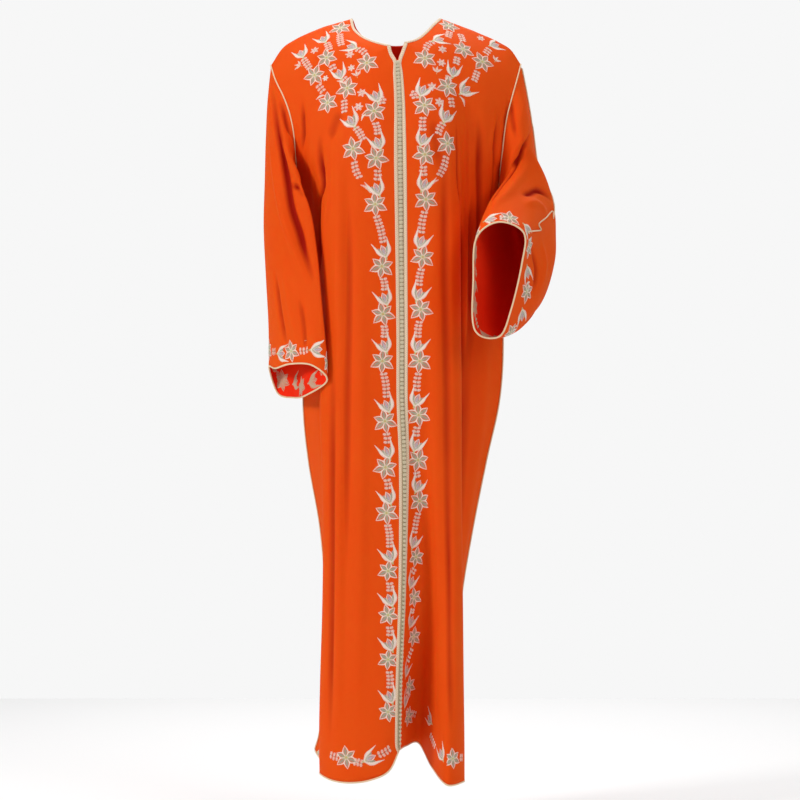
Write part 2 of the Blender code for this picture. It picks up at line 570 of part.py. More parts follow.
neck_edge, neck_in, neck_out = [], [], []
for r in range(NECK_CORNER, 0, -1):
    neck_edge.append(front_right[r, 0])
    neck_in.append(unit(front_right[r, 1] - front_right[r, 0]))
    neck_out.append(own_right[r, 0])
neck_ends = ((SEAM_COLUMNS, -1), (SEAM_COLUMNS + NECK_COLUMNS, 1))
for c in range(SEAM_COLUMNS, SEAM_COLUMNS + NECK_COLUMNS + 1):
    toward = unit(back_panel[1, c] - back_panel[0, c])
    for end, beyond in neck_ends:
        seamward = unit(back_panel[0, end + beyond] - back_panel[0, end])
        near = max(0, 1 - abs(c - end) / 2)
        toward = toward * (1 - near) + seamward * near
    neck_edge.append(back_panel[0, c])
    neck_in.append(unit(toward))
    neck_out.append(out_back[0, c])
for r in range(1, NECK_CORNER + 1):
    neck_edge.append(front_left[r, 0])
    neck_in.append(unit(front_left[r, 1] - front_left[r, 0]))
    neck_out.append(own_left[r, 0])
neck_edge, neck_in, neck_out = np.array(neck_edge), np.array(neck_in), np.array(neck_out)
for end, inner in ((0, 1), (-1, -2)):
    neck_edge[end] += unit(neck_edge[inner] - neck_edge[end]) * 1.0
neck = np.stack([neck_edge, neck_edge + neck_in * (NECK_BRAID - 0.6)], axis=1)
facing = np.stack([neck_out, neck_out], axis=1)
trims.append(strip("neck_braid", neck, facing, facing, TRIM_GAP * 1.8, BRAID_THICK))
coloured(trims, "cream", CREAM, 0.6)

# The row of knotted buttons, over the line where the fronts meet
run = slice(NECK_V, len(ROWS))
middle = (front_left[run, 0] + front_right[run, 0]) / 2
sides = []
for grid in (front_right, front_left):
    sides.append(grid[run, 0] + unit(grid[run, 1] - grid[run, 0]) * BAND_HALF)
base = np.stack([sides[0], middle, sides[1]], axis=1)
facing = np.stack([own_right[run, 1], middle_out, own_left[run, 1]], axis=1)
own = np.stack([own_right[run, 1], own_left[run, 1], own_left[run, 1]], axis=1)
coloured([strip("button_band", base, facing, own, TRIM_GAP, BAND_THICK)], "buttons", BUTTON_GOLD, 0.5)
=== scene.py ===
import math

import bpy
import numpy as np
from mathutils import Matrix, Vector
from mathutils.bvhtree import BVHTree


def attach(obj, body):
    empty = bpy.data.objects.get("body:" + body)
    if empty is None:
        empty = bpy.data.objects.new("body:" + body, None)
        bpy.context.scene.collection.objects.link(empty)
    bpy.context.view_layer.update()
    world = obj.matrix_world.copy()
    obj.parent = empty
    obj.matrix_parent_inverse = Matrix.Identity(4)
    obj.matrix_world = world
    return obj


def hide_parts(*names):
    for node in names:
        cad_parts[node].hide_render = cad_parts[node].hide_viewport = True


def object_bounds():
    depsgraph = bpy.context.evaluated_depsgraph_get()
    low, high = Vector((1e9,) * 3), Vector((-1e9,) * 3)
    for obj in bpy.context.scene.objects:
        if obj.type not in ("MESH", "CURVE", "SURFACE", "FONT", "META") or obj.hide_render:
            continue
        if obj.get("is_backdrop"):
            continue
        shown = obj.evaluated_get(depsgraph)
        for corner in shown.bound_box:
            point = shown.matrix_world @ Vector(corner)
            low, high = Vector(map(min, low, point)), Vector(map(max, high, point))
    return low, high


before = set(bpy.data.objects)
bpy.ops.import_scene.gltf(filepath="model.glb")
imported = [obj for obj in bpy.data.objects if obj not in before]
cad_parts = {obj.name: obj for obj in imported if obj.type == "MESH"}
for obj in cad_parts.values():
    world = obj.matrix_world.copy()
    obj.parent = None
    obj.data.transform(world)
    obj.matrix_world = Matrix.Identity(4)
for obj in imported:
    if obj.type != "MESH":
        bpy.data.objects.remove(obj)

cad_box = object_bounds()


# Camera, floor and light
# The garment is seen from straight in front at the height of its middle, from 6 m away, over a plain
# pale floor and under soft light. Sizes are in mm, which MM turns to metres, unless a line says metres.
MM = 0.001
CAMERA_X, CAMERA_FAR, CAMERA_Z = 6.0, 6000.0, -734.0
SENSOR = 36
VIEW_WIDTH = 1544.0
FLOOR_Z = -1560.0
FLOOR_HALF, FLOOR_BACK = 12.0, 2.6  # metres: half its width, and how far it goes behind the garment
SOFTBOXES = [
    # name, then in metres x, y, z, width and how far behind the garment it points, then watts
    ("key", -3.3, -2.6, 1.0, 0.8, 0, 86),
    ("fill", 2.4, -3.4, 1.3, 2.0, 0, 46),
    ("back", 0.4, 3.2, 1.6, 2.4, 0, 40),
    ("ceiling", 0.0, 1.0, 2.6, 4.0, 0.5, 110),
]
AMBIENT = 0.28
BACKDROP = 0.93
lens = bpy.data.cameras.new("camera")
lens.sensor_width = SENSOR
lens.lens = SENSOR * CAMERA_FAR / VIEW_WIDTH
lens.clip_end = 60
camera = bpy.data.objects.new("camera", lens)
camera.location = (CAMERA_X * MM, -CAMERA_FAR * MM, CAMERA_Z * MM)
camera.rotation_euler = (math.radians(90), 0, 0)
bpy.context.scene.collection.objects.link(camera)
bpy.context.scene.camera = camera

for name, x, y, z, width, behind, watts in SOFTBOXES:
    lamp = bpy.data.lights.new(name, "AREA")
    lamp.shape = "SQUARE"
    lamp.size = width
    lamp.energy = watts
    light = bpy.data.objects.new(name, lamp)
    light.location = (x, y, z)
    aim = Vector((0, behind, CAMERA_Z * MM)) - light.location
    light.rotation_euler = aim.to_track_quat("-Z", "Y").to_euler()
    bpy.context.scene.collection.objects.link(light)

world = bpy.data.worlds.new("studio")
world.use_nodes = True
bpy.context.scene.world = world
bpy.context.scene.view_settings.view_transform = "Standard"


def feed(tree, socket, value):
    """Links an output into a socket, or sets the socket to a plain value."""
    if isinstance(value, bpy.types.NodeSocket):
        tree.links.new(value, socket)
    else:
        socket.default_value = value


def wired(tree, kind, inputs=(), **settings):
    """A node of that kind: settings are its own properties, inputs are (socket, value or output to link)."""
    node = tree.nodes.new(kind)
    for key, value in settings.items():
        setattr(node, key, value)
    for socket, value in inputs:
        feed(tree, node.inputs[socket], value)
    return node


def ranged(tree, value, low, high, to_low, to_high):
    """The value, spread from its own low and high to the new ones."""
    spread = enumerate((value, low, high, to_low, to_high))
    return wired(tree, "ShaderNodeMapRange", spread).outputs[0]


def blended(tree, mask, first, second):
    """A colour that goes from the first to the second as the mask goes from 0 to 1."""
    ends = [value if isinstance(value, bpy.types.NodeSocket) else (*value, 1.0) for value in (first, second)]
    return wired(tree, "ShaderNodeMix", [(0, mask), (6, ends[0]), (7, ends[1])], data_type="RGBA").outputs[2]


def surface(name):
    """A new material, its node tree and its Principled shader."""
    material = bpy.data.materials.new(name)
    material.use_nodes = True
    return material, material.node_tree, material.node_tree.nodes["Principled BSDF"]


def finished(tree, shader, colour, raised=(), **values):
    """Gives a shader its colour, its other values, and its bumps: strength, distance in metres, height."""
    feed(tree, shader.inputs["Base Color"], colour)
    for label, value in values.items():
        feed(tree, shader.inputs[label.replace("_", " ")], value)
    under = []
    for strength, distance, height in raised:
        inputs = [("Strength", strength), ("Distance", distance), ("Height", height)] + under
        under = [("Normal", wired(tree, "ShaderNodeBump", inputs).outputs[0])]
    for label, normal in under:
        feed(tree, shader.inputs[label], normal)


sky = world.node_tree.nodes["Background"]
sky.inputs["Color"].default_value = (1.0, 1.0, 1.0, 1.0)
straight_at_camera = wired(world.node_tree, "ShaderNodeLightPath").outputs["Is Camera Ray"]
strength = ranged(world.node_tree, straight_at_camera, 0.0, 1.0, AMBIENT, BACKDROP)
feed(world.node_tree, sky.inputs["Strength"], strength)

ground = bpy.data.meshes.new("floor")
near, far = -FLOOR_HALF, FLOOR_BACK
corners = [(-FLOOR_HALF, near), (FLOOR_HALF, near), (FLOOR_HALF, far), (-FLOOR_HALF, far)]
ground.from_pydata([(x, y, FLOOR_Z * MM) for x, y in corners], [], [(0, 1, 2, 3)])
floor = bpy.data.objects.new("floor", ground)
bpy.context.scene.collection.objects.link(floor)
pale, tree, shader = surface("pale_floor")
mottle = wired(tree, "ShaderNodeTexNoise", [("Scale", 3.0), ("Detail", 3.0)])
shade = blended(tree, mottle.outputs["Fac"], (0.90, 0.90, 0.90), (0.93, 0.93, 0.93))
finished(tree, shader, shade, Roughness=0.9)
ground.materials.append(pale)
floor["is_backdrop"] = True


# Fronts and back
# Two fronts and a back of mid-weight plain-woven cotton in orange-red, a little slubby and with a faint
# sheen. They are sewn at the shoulders and sides, and hang from the shoulders in long soft folds.
CLOTH = 1.4
DOWN_LINES = 12  # rows of the net for each row of the tables
ACROSS_LINES = 8  # columns of a front's net for each column of the tables
NECK_CORNER = 24
NECK_V = 36
UNDERARM = 72
ROWS = np.arange(193) / DOWN_LINES
SEAM_ROOM = 0.9
FRONT_ROOM = 0.15
BACK_LINES = 24
BACK_FINE = 4
BACK_SEAM = 8
BACK_NECK_LINES = 8
LIFT_FROM = -900
BACK_LOWEST = -1462
BACK_HEM = -1400
BLADES = 22
FOLDS_FULL = -1460
YOKE_SMOOTHING = 14

# Wearer's left front. Columns: front edge, 2 across the breast, valley wall, front crest, crest edge,
# trough behind it, second crest, side panel, side edge. Rows: shoulder seam down to the underarm.
LEFT_YOKE = [
    [(82, 0, 3), (99, 0, -3), (115, 0, -9), (131, 0, -15), (147, 0, -21), (163, 0, -28), (180, 0, -35),
     (198, 0, -44), (220, 1, -58), (239, 2, -86)],
    [(52, -56, -33), (74, -60, -41), (94, -61, -49), (112, -60, -57), (129, -57, -64), (145, -54, -72),
     (161, -51, -80), (181, -45, -89), (205, -34, -102), (230, -22, -120)],
    [(14, -84, -53), (39, -90, -70), (61, -93, -82), (83, -93, -94), (104, -90, -105), (124, -84, -113),
     (144, -78, -120), (167, -69, -129), (193, -54, -139), (221, -36, -152)],
    [(1, -98, -89), (30, -109, -112), (53, -115, -127), (78, -116, -140), (101, -110, -149),
     (121, -99, -156), (140, -90, -162), (164, -80, -170), (189, -63, -176), (212, -45, -186)],
    [(5, -124, -162), (33, -132, -178), (57, -136, -189), (81, -133, -198), (102, -125, -205),
     (118, -108, -210), (132, -90, -212), (158, -84, -217), (184, -66, -220), (206, -46, -224)],
    [(6, -142, -237), (32, -148, -244), (57, -149, -252), (81, -143, -258), (103, -132, -261),
     (117, -110, -263), (128, -84, -263), (154, -76, -264), (179, -58, -265), (202, -34, -265)],
    [(7, -148, -318), (33, -150, -319), (59, -149, -320), (82, -144, -320), (104, -132, -319),
     (118, -108, -318), (126, -74, -315), (150, -62, -314), (176, -40, -313), (198, 0, -310)],
]
# Below the underarm: height, then (x, y) in the same columns
LEFT_SKIRT = [
    (-400, [(8, -144), (34, -146), (59, -145), (82, -141), (105, -131), (120, -107), (122, -66),
            (143, -48), (169, -20), (193, 20)]),
    (-500, [(9, -140), (35, -143), (59, -143), (83, -139), (106, -130), (121, -105), (118, -58),
            (137, -34), (168, -6), (198, 32)]),
    (-620, [(10, -139), (35, -142), (60, -142), (84, -139), (107, -130), (122, -105), (115, -54),
            (137, -26), (174, 2), (206, 38)]),
    (-734, [(10, -140), (34, -139), (58, -137), (83, -139), (107, -131), (123, -106), (114, -52),
            (134, -22), (168, 4), (199, 38)]),
    (-850, [(14, -141), (35, -131), (57, -126), (82, -135), (106, -131), (123, -107), (114, -52),
            (126, -18), (150, 8), (174, 38)]),
    (-985, [(14, -143), (34, -119), (55, -110), (80, -127), (104, -133), (124, -108), (116, -54),
            (120, -16), (134, 10), (147, 38)]),
    (-1120, [(12, -144), (30, -104), (51, -92), (77, -117), (102, -136), (125, -110), (118, -56),
             (115, -16), (118, 12), (125, 40)]),
    (-1260, [(7, -143), (22, -84), (46, -62), (69, -103), (98, -142), (126, -112), (120, -56),
             (114, -14), (112, 14), (115, 42)]),
    (-1370, [(5, -141), (18, -66), (44, -36), (66, -92), (95, -147), (127, -113), (122, -56),
             (115, -12), (112, 16), (114, 44)]),
]
LEFT_HEM = [(5, -139, -1392), (18, -62, -1393), (42, -26, -1392), (66, -90, -1430), (94, -150, -1457),
            (127, -114, -1455), (123, -56, -1456), (116, -12, -1458), (113, 18, -1459), (116, 46, -1462)]

# Wearer's right front. Columns: front edge, 3 across, front crest, crest edge, trough, side panel, side edge.
RIGHT_YOKE = [
    [(-86, 0, 2), (-104, 0, -3), (-121, 0, -8), (-139, 0, -13), (-157, 0, -20), (-176, 0, -28),
     (-196, 0, -38), (-221, 1, -55), (-243, 2, -88)],
    [(-63, -50, -38), (-85, -56, -44), (-105, -57, -52), (-125, -56, -59), (-146, -54, -68),
     (-167, -50, -78), (-189, -44, -88), (-211, -35, -101), (-233, -26, -119)],
    [(-12, -85, -59), (-39, -92, -74), (-65, -94, -88), (-90, -92, -100), (-115, -87, -110),
     (-139, -80, -120), (-165, -71, -130), (-192, -60, -141), (-217, -48, -153)],
    [(0, -98, -89), (-31, -111, -114), (-59, -116, -132), (-85, -114, -145), (-110, -106, -156),
     (-134, -97, -165), (-158, -87, -173), (-182, -76, -180), (-205, -62, -186)],
    [(5, -124, -162), (-27, -135, -181), (-57, -139, -195), (-84, -136, -204), (-108, -126, -211),
     (-128, -114, -216), (-150, -103, -220), (-173, -88, -223), (-197, -66, -224)],
    [(6, -142, -237), (-27, -150, -248), (-58, -152, -258), (-87, -147, -264), (-110, -136, -267),
     (-131, -120, -268), (-151, -106, -269), (-171, -84, -269), (-194, -48, -266)],
    [(7, -148, -318), (-27, -152, -318), (-58, -152, -317), (-88, -146, -316), (-112, -135, -315),
     (-135, -117, -313), (-150, -96, -312), (-164, -62, -309), (-192, 0, -305)],
]
RIGHT_SKIRT = [
    (-400, [(8, -144), (-27, -149), (-58, -150), (-89, -146), (-115, -136), (-143, -112), (-141, -68),
            (-155, -30), (-181, 22)]),
    (-500, [(9, -140), (-27, -146), (-58, -148), (-90, -145), (-117, -135), (-139, -108), (-135, -62),
            (-147, -20), (-173, 32)]),
    (-620, [(10, -139), (-26, -145), (-58, -147), (-90, -145), (-117, -134), (-136, -106), (-132, -58),
            (-147, -12), (-173, 42)]),
    (-734, [(10, -140), (-26, -145), (-58, -147), (-91, -145), (-121, -133), (-146, -104), (-139, -56),
            (-156, -8), (-182, 45)]),
    (-850, [(14, -141), (-23, -146), (-56, -148), (-90, -146), (-120, -134), (-143, -104), (-137, -56),
            (-150, -8), (-172, 47)]),
    (-985, [(14, -143), (-23, -147), (-56, -149), (-90, -146), (-119, -134), (-140, -103), (-135, -56),
            (-138, -8), (-149, 48)]),
    (-1120, [(12, -144), (-23, -149), (-56, -150), (-90, -147), (-120, -134), (-141, -102), (-136, -54),
             (-134, -8), (-139, 48)]),
    (-1260, [(7, -143), (-25, -151), (-58, -152), (-92, -148), (-123, -134), (-145, -100), (-141, -52),
             (-138, -8), (-141, 46)]),
    (-1370, [(5, -141), (-25, -152), (-58, -153), (-92, -149), (-124, -134), (-147, -100), (-144, -52),
             (-142, -8), (-149, 42)]),
]
RIGHT_HEM = [(5, -139, -1392), (-15, -150, -1431), (-51, -153, -1448), (-90, -150, -1453),
             (-123, -135, -1450), (-146, -100, -1442), (-144, -52, -1440), (-146, -8, -1430),
             (-159, 38, -1412)]

# Neck edge from the shoulder to the front corner, then the slit down to where the fronts meet
NECK_RIGHT = [(-86, 0, 2), (-80, -24, -21), (-63, -50, -39), (-39, -70, -51), (-12, -85, -59)]
NECK_LEFT = [(82, 0, 3), (68, -28, -13), (52, -52, -32), (36, -68, -45), (14, -84, -53)]
SLIT_RIGHT = [(-12, -85, -59), (-8, -91, -74), (1, -98, -89)]
SLIT_LEFT = [(14, -84, -53), (9, -91, -68), (1, -98, -89)]
BACK_NECK = [(-86, 0, 2), (-76, 28, -19), (-48, 48, -37), (-2, 55, -45), (44, 48, -37), (72, 28, -19),
             (82, 0, 3)]

# Back half of each armhole, from the shoulder to the underarm
BACK_ARMHOLE_RIGHT = [(-243, 2, -88), (-238, 34, -116), (-230, 56, -150), (-221, 68, -190), (-211, 66, -228),
                      (-201, 44, -266), (-192, 0, -305)]
BACK_ARMHOLE_LEFT = [(239, 2, -86), (232, 35, -115), (224, 56, -150), (216, 68, -190), (209, 64, -230),
                     (203, 42, -270), (198, 0, -310)]

# Back: height and how far back the middle of it stands
BACK_DEPTH = [(-1470, 124), (-1370, 121), (-1120, 118), (-850, 121), (-734, 121), (-620, 112), (-500, 101),
              (-400, 103), (-318, 110)]
# Soft folds down the back: place across (0 wearer's right, 1 left), half width, depth at the hem, top height
BACK_FOLDS = [
    (0.12, 0.045, 10, -330),
    (0.23, 0.050, -13, -420),
    (0.35, 0.045, 15, -300),
    (0.47, 0.050, -14, -380),
    (0.58, 0.045, 13, -460),
    (0.69, 0.050, -12, -330),
    (0.80, 0.045, 14, -400),
    (0.90, 0.040, -9, -520),
]


def along(points, at, closed=False):
    """Points on the smooth curve through the given ones, at places counted in steps between them."""
    p = np.asarray(points, float)
    at = np.asarray(at, float)
    n = len(p)
    if closed:
        i = np.floor(at).astype(int) % n
        after = (i + 1) % n
        f = at - np.floor(at)
        start = (p[after] - p[(i - 1) % n]) / 2
        end = (p[(i + 2) % n] - p[i]) / 2
    else:
        i = np.clip(np.floor(at).astype(int), 0, n - 2)
        after = i + 1
        f = at - i
        tangent = np.gradient(p, axis=0)
        start, end = tangent[i], tangent[after]
    f = f.reshape((-1,) + (1,) * (p.ndim - 1))
    hold = 2 * f**3 - 3 * f**2 + 1
    return hold * p[i] + (f**3 - 2 * f**2 + f) * start + (1 - hold) * p[after] + (f**3 - f**2) * end


def spaced(points, count):
    """That many points, evenly counted along the smooth curve through the given ones."""
    return along(points, np.linspace(0, len(points) - 1, count))


def unit(v):
    """The same directions, with a length of one."""
    return v / np.maximum(np.linalg.norm(v, axis=-1, keepdims=True), 1e-9)


def sections(yoke, skirt, hem):
    """All the rows of a front's tables, from the shoulder seam to the hem."""
    return np.array(yoke + [[(x, y, z) for x, y in row] for z, row in skirt] + [hem], float)


def front(net, neck, slit, middle):
    """The outer surface of one front, with its first column on the front edge."""
    rows = along(net, ROWS)
    edge = rows[:, 0].copy()
    edge[: NECK_CORNER + 1] = spaced(neck, NECK_CORNER + 1)
    edge[NECK_CORNER : NECK_V + 1] = spaced(slit, NECK_V - NECK_CORNER + 1)
    edge[NECK_V:] = middle
    panel = spaced(rows.swapaxes(0, 1), (rows.shape[1] - 1) * ACROSS_LINES + 1).swapaxes(0, 1)
    # The columns beside the edge move with it: 48 percent at the next one, and none from 2.1 on
    at = np.arange(panel.shape[1]) / ACROSS_LINES
    share = np.where(at < 1, 1 - 0.516 * at, np.clip(1 - (at - 0.6) / 1.5, 0, 1) ** 2 * 0.9)
    return panel + (edge - panel[:, 0])[:, None] * share[None, :, None]


def back(right_side, left_side):
    """The outer surface of the back, from the wearer's right to the left, sewn to the fronts' sides."""
    coarse = DOWN_LINES // 2
    rough_right, rough_left = right_side[::coarse], left_side[::coarse]
    under = UNDERARM // coarse
    near, far = BACK_SEAM, BACK_SEAM + BACK_NECK_LINES
    u = np.linspace(0, 1, BACK_LINES + 1)
    grid = np.zeros((len(rough_right), BACK_LINES + 1, 3))
    grid[0, : near + 1] = spaced(RIGHT_YOKE[0][::-1], near + 1)
    grid[0, near : far + 1] = spaced(BACK_NECK, far - near + 1)
    grid[0, far:] = spaced(LEFT_YOKE[0], near + 1)
    heights, depths = np.array(BACK_DEPTH, float).T
    for r in range(under, len(grid)):
        a, b = rough_right[r], rough_left[r]
        level = min(a[2], b[2])
        line = a + (b - a) * u[:, None]
        arch = np.clip(4 * u * (1 - u), 0, 1) ** 0.62
        line[:, 1] += (np.interp(level, heights, depths) - line[:, 1]) * arch
        line[:, 2] = level + (a[2] - level) * (1 - u) ** 8 + (b[2] - level) * u**8
        for place, half, deep, top in BACK_FOLDS:
            grown = np.clip((top - level) / (top - FOLDS_FULL), 0, 1)
            line[:, 1] += deep * grown * np.exp(-(((u - place) / half) ** 2))
        if level < LIFT_FROM:
            spare = (level - LIFT_FROM) / (BACK_LOWEST - LIFT_FROM)
            share = np.interp(u, [0, 0.1, 0.72, 0.9, 1], [0, 1, 1, 0.25, 0])
            line[:, 2] += (BACK_HEM - BACK_LOWEST) * spare * share
        grid[r] = line
    # Between the shoulders and the underarm the rows go from one to the other, out over the shoulder blades
    top, bottom = grid[0], grid[under]
    for r in range(1, under):
        v = r / under
        line = (1 - v) * top + v * bottom
        line = line + (1 - u[:, None]) ** 3 * (rough_right[r] - line[0])
        line = line + u[:, None] ** 3 * (rough_left[r] - line[-1])
        line[:, 1] += BLADES * np.sin(np.pi * v) * np.sin(np.pi * u) ** 0.7
        grid[r] = line
    grid[: under + 1, 0] = rough_right[: under + 1]
    grid[: under + 1, -1] = rough_left[: under + 1]
    for _ in range(YOKE_SMOOTHING):
        inner = (grid[:-2, 1:-1] + grid[2:, 1:-1] + grid[1:-1, :-2] + grid[1:-1, 2:]) / 4
        weight = np.clip((under + 3 - np.arange(1, len(grid) - 1)) / 3, 0, 1)[:, None, None] * 0.5
        grid[1:-1, 1:-1] += (inner - grid[1:-1, 1:-1]) * weight
    rows = along(grid, ROWS * DOWN_LINES / coarse)
    panel = spaced(rows.swapaxes(0, 1), BACK_LINES * BACK_FINE + 1).swapaxes(0, 1)
    # Its first rows and columns come onto the shoulder, neck and side seams
    top = np.concatenate([
        spaced(RIGHT_YOKE[0][::-1], near * BACK_FINE + 1)[:-1],
        spaced(BACK_NECK, BACK_NECK_LINES * BACK_FINE + 1),
        spaced(LEFT_YOKE[0], near * BACK_FINE + 1)[1:],
    ])
    for r in range(coarse, -1, -1):
        panel[r] += (top - panel[0]) * (1 - r / coarse)
    for c in range(BACK_FINE, -1, -1):
        panel[:, c] += (right_side - panel[:, 0]) * (1 - c / BACK_FINE)
        panel[:, -1 - c] += (left_side - panel[:, -1]) * (1 - c / BACK_FINE)
    return panel


def slope(points, closed=False, axis=0):
    """How much the points change from each one to the next along that axis."""
    if closed:
        return np.roll(points, -1, axis=axis) - np.roll(points, 1, axis=axis)
    return np.gradient(points, axis=axis)


def outward(grid, sign, closed=False):
    """The directions out of the cloth, away from the wearer."""
    return unit(np.cross(slope(grid, closed, axis=1), slope(grid)) * sign)


# What cloth that faces away counts as too far off, the depth of a full fold, and how far and high seams pucker
HIDDEN = 400
DEEPEST = 10
PUCKER_REACH = 9
PANEL_PUCKER, SLEEVE_PUCKER = 0.55, 0.5


def seen_at(grid, out, x, z):
    """The cloth's point that shows at x, z in the picture, measured on the plane through the shoulders."""
    reach = CAMERA_FAR / (CAMERA_FAR + grid[..., 1])
    aside = CAMERA_X + (grid[..., 0] - CAMERA_X) * reach - x
    above = CAMERA_Z + (grid[..., 2] - CAMERA_Z) * reach - z
    off = np.hypot(aside, above) + HIDDEN * (out[..., 1] > 0.15)
    return grid.reshape(-1, 3)[np.argmin(off)]


def creased(grid, out, creases, down_lines=DOWN_LINES, columns=ACROSS_LINES):
    """The cloth with soft troughs and ridges on given lines, and how deep in a fold each place is."""
    pushed = grid.copy()
    fold = np.zeros(grid.shape[:2])
    for half, depth, where, line in creases:
        if where == "seen":
            points = [seen_at(grid, out, x, z) for x, z in line]
        else:
            points = [grid[round(down * down_lines), round(across * columns)] for across, down in line]
        path = spaced(points, 10 * (len(points) - 1) + 1)
        piece = np.diff(path, axis=0)
        off = grid[:, :, None] - path[:-1]
        share = np.clip(np.sum(off * piece, axis=-1) / np.sum(piece * piece, axis=-1), 0, 1)
        gap = np.linalg.norm(off - share[..., None] * piece, axis=-1)
        nearest = np.argmin(gap, axis=-1)
        t = (nearest + np.take_along_axis(share, nearest[..., None], -1)[..., 0]) / len(piece)
        fade = np.clip(np.minimum(t, 1 - t) * 3.5 + 0.04, 0, 1)
        sunk = depth * fade * np.exp(-((gap.min(axis=-1) / half) ** 2))
        pushed -= out * sunk[..., None]
        fold += sunk / DEEPEST
    return pushed, np.clip(fold, 0, 1)


def length_along(line):
    """How far along a line of points each of them is."""
    return np.concatenate([[0], np.cumsum(np.linalg.norm(np.diff(line, axis=0), axis=-1))])


def puckered(grid, out, lines, height):
    """Small waves along a seam that draws the cloth up. The seam is the first of the lines."""
    edge = grid[:, lines[0]].copy()
    run = length_along(edge)
    wave = np.sin(run / 8.3) + 0.7 * np.sin(run / 5.4 + 1.3) * np.sin(run / 47)
    for line in lines[1:]:
        far = np.linalg.norm(grid[:, line] - edge, axis=1) / PUCKER_REACH
        grid[:, line] -= out[:, line] * (height * wave * (far * np.exp(1 - far)))[:, None]


def squares(down, across):
    """The four corners of each square in a net of points, as row and column, going round."""
    i, j = [n.ravel() for n in np.mgrid[0:down, 0:across]]
    return [(i, j), (i, j + 1), (i + 1, j + 1), (i + 1, j)]


def numbered(corners, rows, columns):
    """Each corner's number in a net of that size. Past the last row or column it is the first again."""
    return np.stack([r % rows * columns + c % columns for r, c in corners], axis=1)


def shown(name, points, faces, flat=None):
    """A smooth-shaded piece in the scene, riding on the one body, with its flat pattern if it has one."""
    mesh = bpy.data.meshes.new(name)
    mesh.from_pydata((np.asarray(points).reshape(-1, 3) * MM).tolist(), [], faces)
    if flat is not None:
        mesh.uv_layers.new(name="cut").data.foreach_set("uv", flat.reshape(-1))
    mesh.shade_smooth()
    piece = bpy.data.objects.new(name, mesh)
    bpy.context.scene.collection.objects.link(piece)
    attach(piece, "root")
    return piece


def cloth(name, outer, out, sign, fold, closed=False):
    """A thin shell of cloth under its outer surface, with its weave laid flat along rows and columns."""
    rows, columns = outer.shape[:2]
    steps = np.linalg.norm((np.roll(outer, -1, axis=1) - outer), axis=-1)
    flat_u = np.concatenate([np.zeros((rows, 1)), np.cumsum(steps, axis=1)], axis=1) * MM
    falls = np.linalg.norm(np.diff(outer, axis=0), axis=-1)
    flat_v = np.concatenate([np.zeros((1, columns)), np.cumsum(falls, axis=0)]) * MM
    flat_v = np.concatenate([flat_v, flat_v[:, :1]], axis=1)
    across = columns if closed else columns - 1
    # Each set of squares: corners, and for each corner 0 on the outer layer or 1 on the inner one
    corners = squares(rows - 1, across)
    quads = [(corners, (0, 0, 0, 0)), (corners[::-1], (1, 1, 1, 1))]
    j = np.arange(across)
    top, low = j * 0, j * 0 + rows - 1
    quads.append(([(top, j), (top, j), (top, j + 1), (top, j + 1)], (0, 1, 1, 0)))
    quads.append(([(low, j), (low, j + 1), (low, j + 1), (low, j)], (0, 0, 1, 1)))
    if not closed:
        i = np.arange(rows - 1)
        first, last = i * 0, i * 0 + columns - 1
        quads.append(([(i, first), (i + 1, first), (i + 1, first), (i, first)], (0, 0, 1, 1)))
        quads.append(([(i, last), (i, last), (i + 1, last), (i + 1, last)], (0, 1, 1, 0)))
    layer = rows * columns
    index = np.concatenate([numbered(c, rows, columns) + layer * np.array(on_inner) for c, on_inner in quads])
    flat = np.concatenate([
        np.stack([np.stack([flat_u[r, c], flat_v[r, c]], -1) for r, c in corners], 1)
        for corners, _ in quads
    ])
    if sign < 0:
        index, flat = index[:, ::-1], flat[:, ::-1]
    piece = shown(name, np.concatenate([outer, outer - out * CLOTH]), index.tolist(), flat)
    # The fold depth is kept for the colour, which paints shade deep in the folds; inside marks the inner
    # layer, which the colour paints deep red
    for label, values in (("fold", np.tile(fold.ravel(), 2)), ("inside", np.repeat([0.0, 1.0], layer))):
        piece.data.attributes.new(label, "FLOAT", "POINT").data.foreach_set("value", values)
    return piece


left_net = sections(LEFT_YOKE, LEFT_SKIRT, LEFT_HEM)
middle = along(left_net[3:, 0], ROWS[NECK_V:] - 3)
front_left = front(left_net, NECK_LEFT, SLIT_LEFT, middle)
front_right = front(sections(RIGHT_YOKE, RIGHT_SKIRT, RIGHT_HEM), NECK_RIGHT, SLIT_RIGHT, middle)
right_side = front_right[:, -1].copy()
left_side = front_left[:, -1].copy()
right_side[: UNDERARM + 1] = spaced(BACK_ARMHOLE_RIGHT, UNDERARM + 1)
left_side[: UNDERARM + 1] = spaced(BACK_ARMHOLE_LEFT, UNDERARM + 1)
back_panel = back(right_side, left_side)

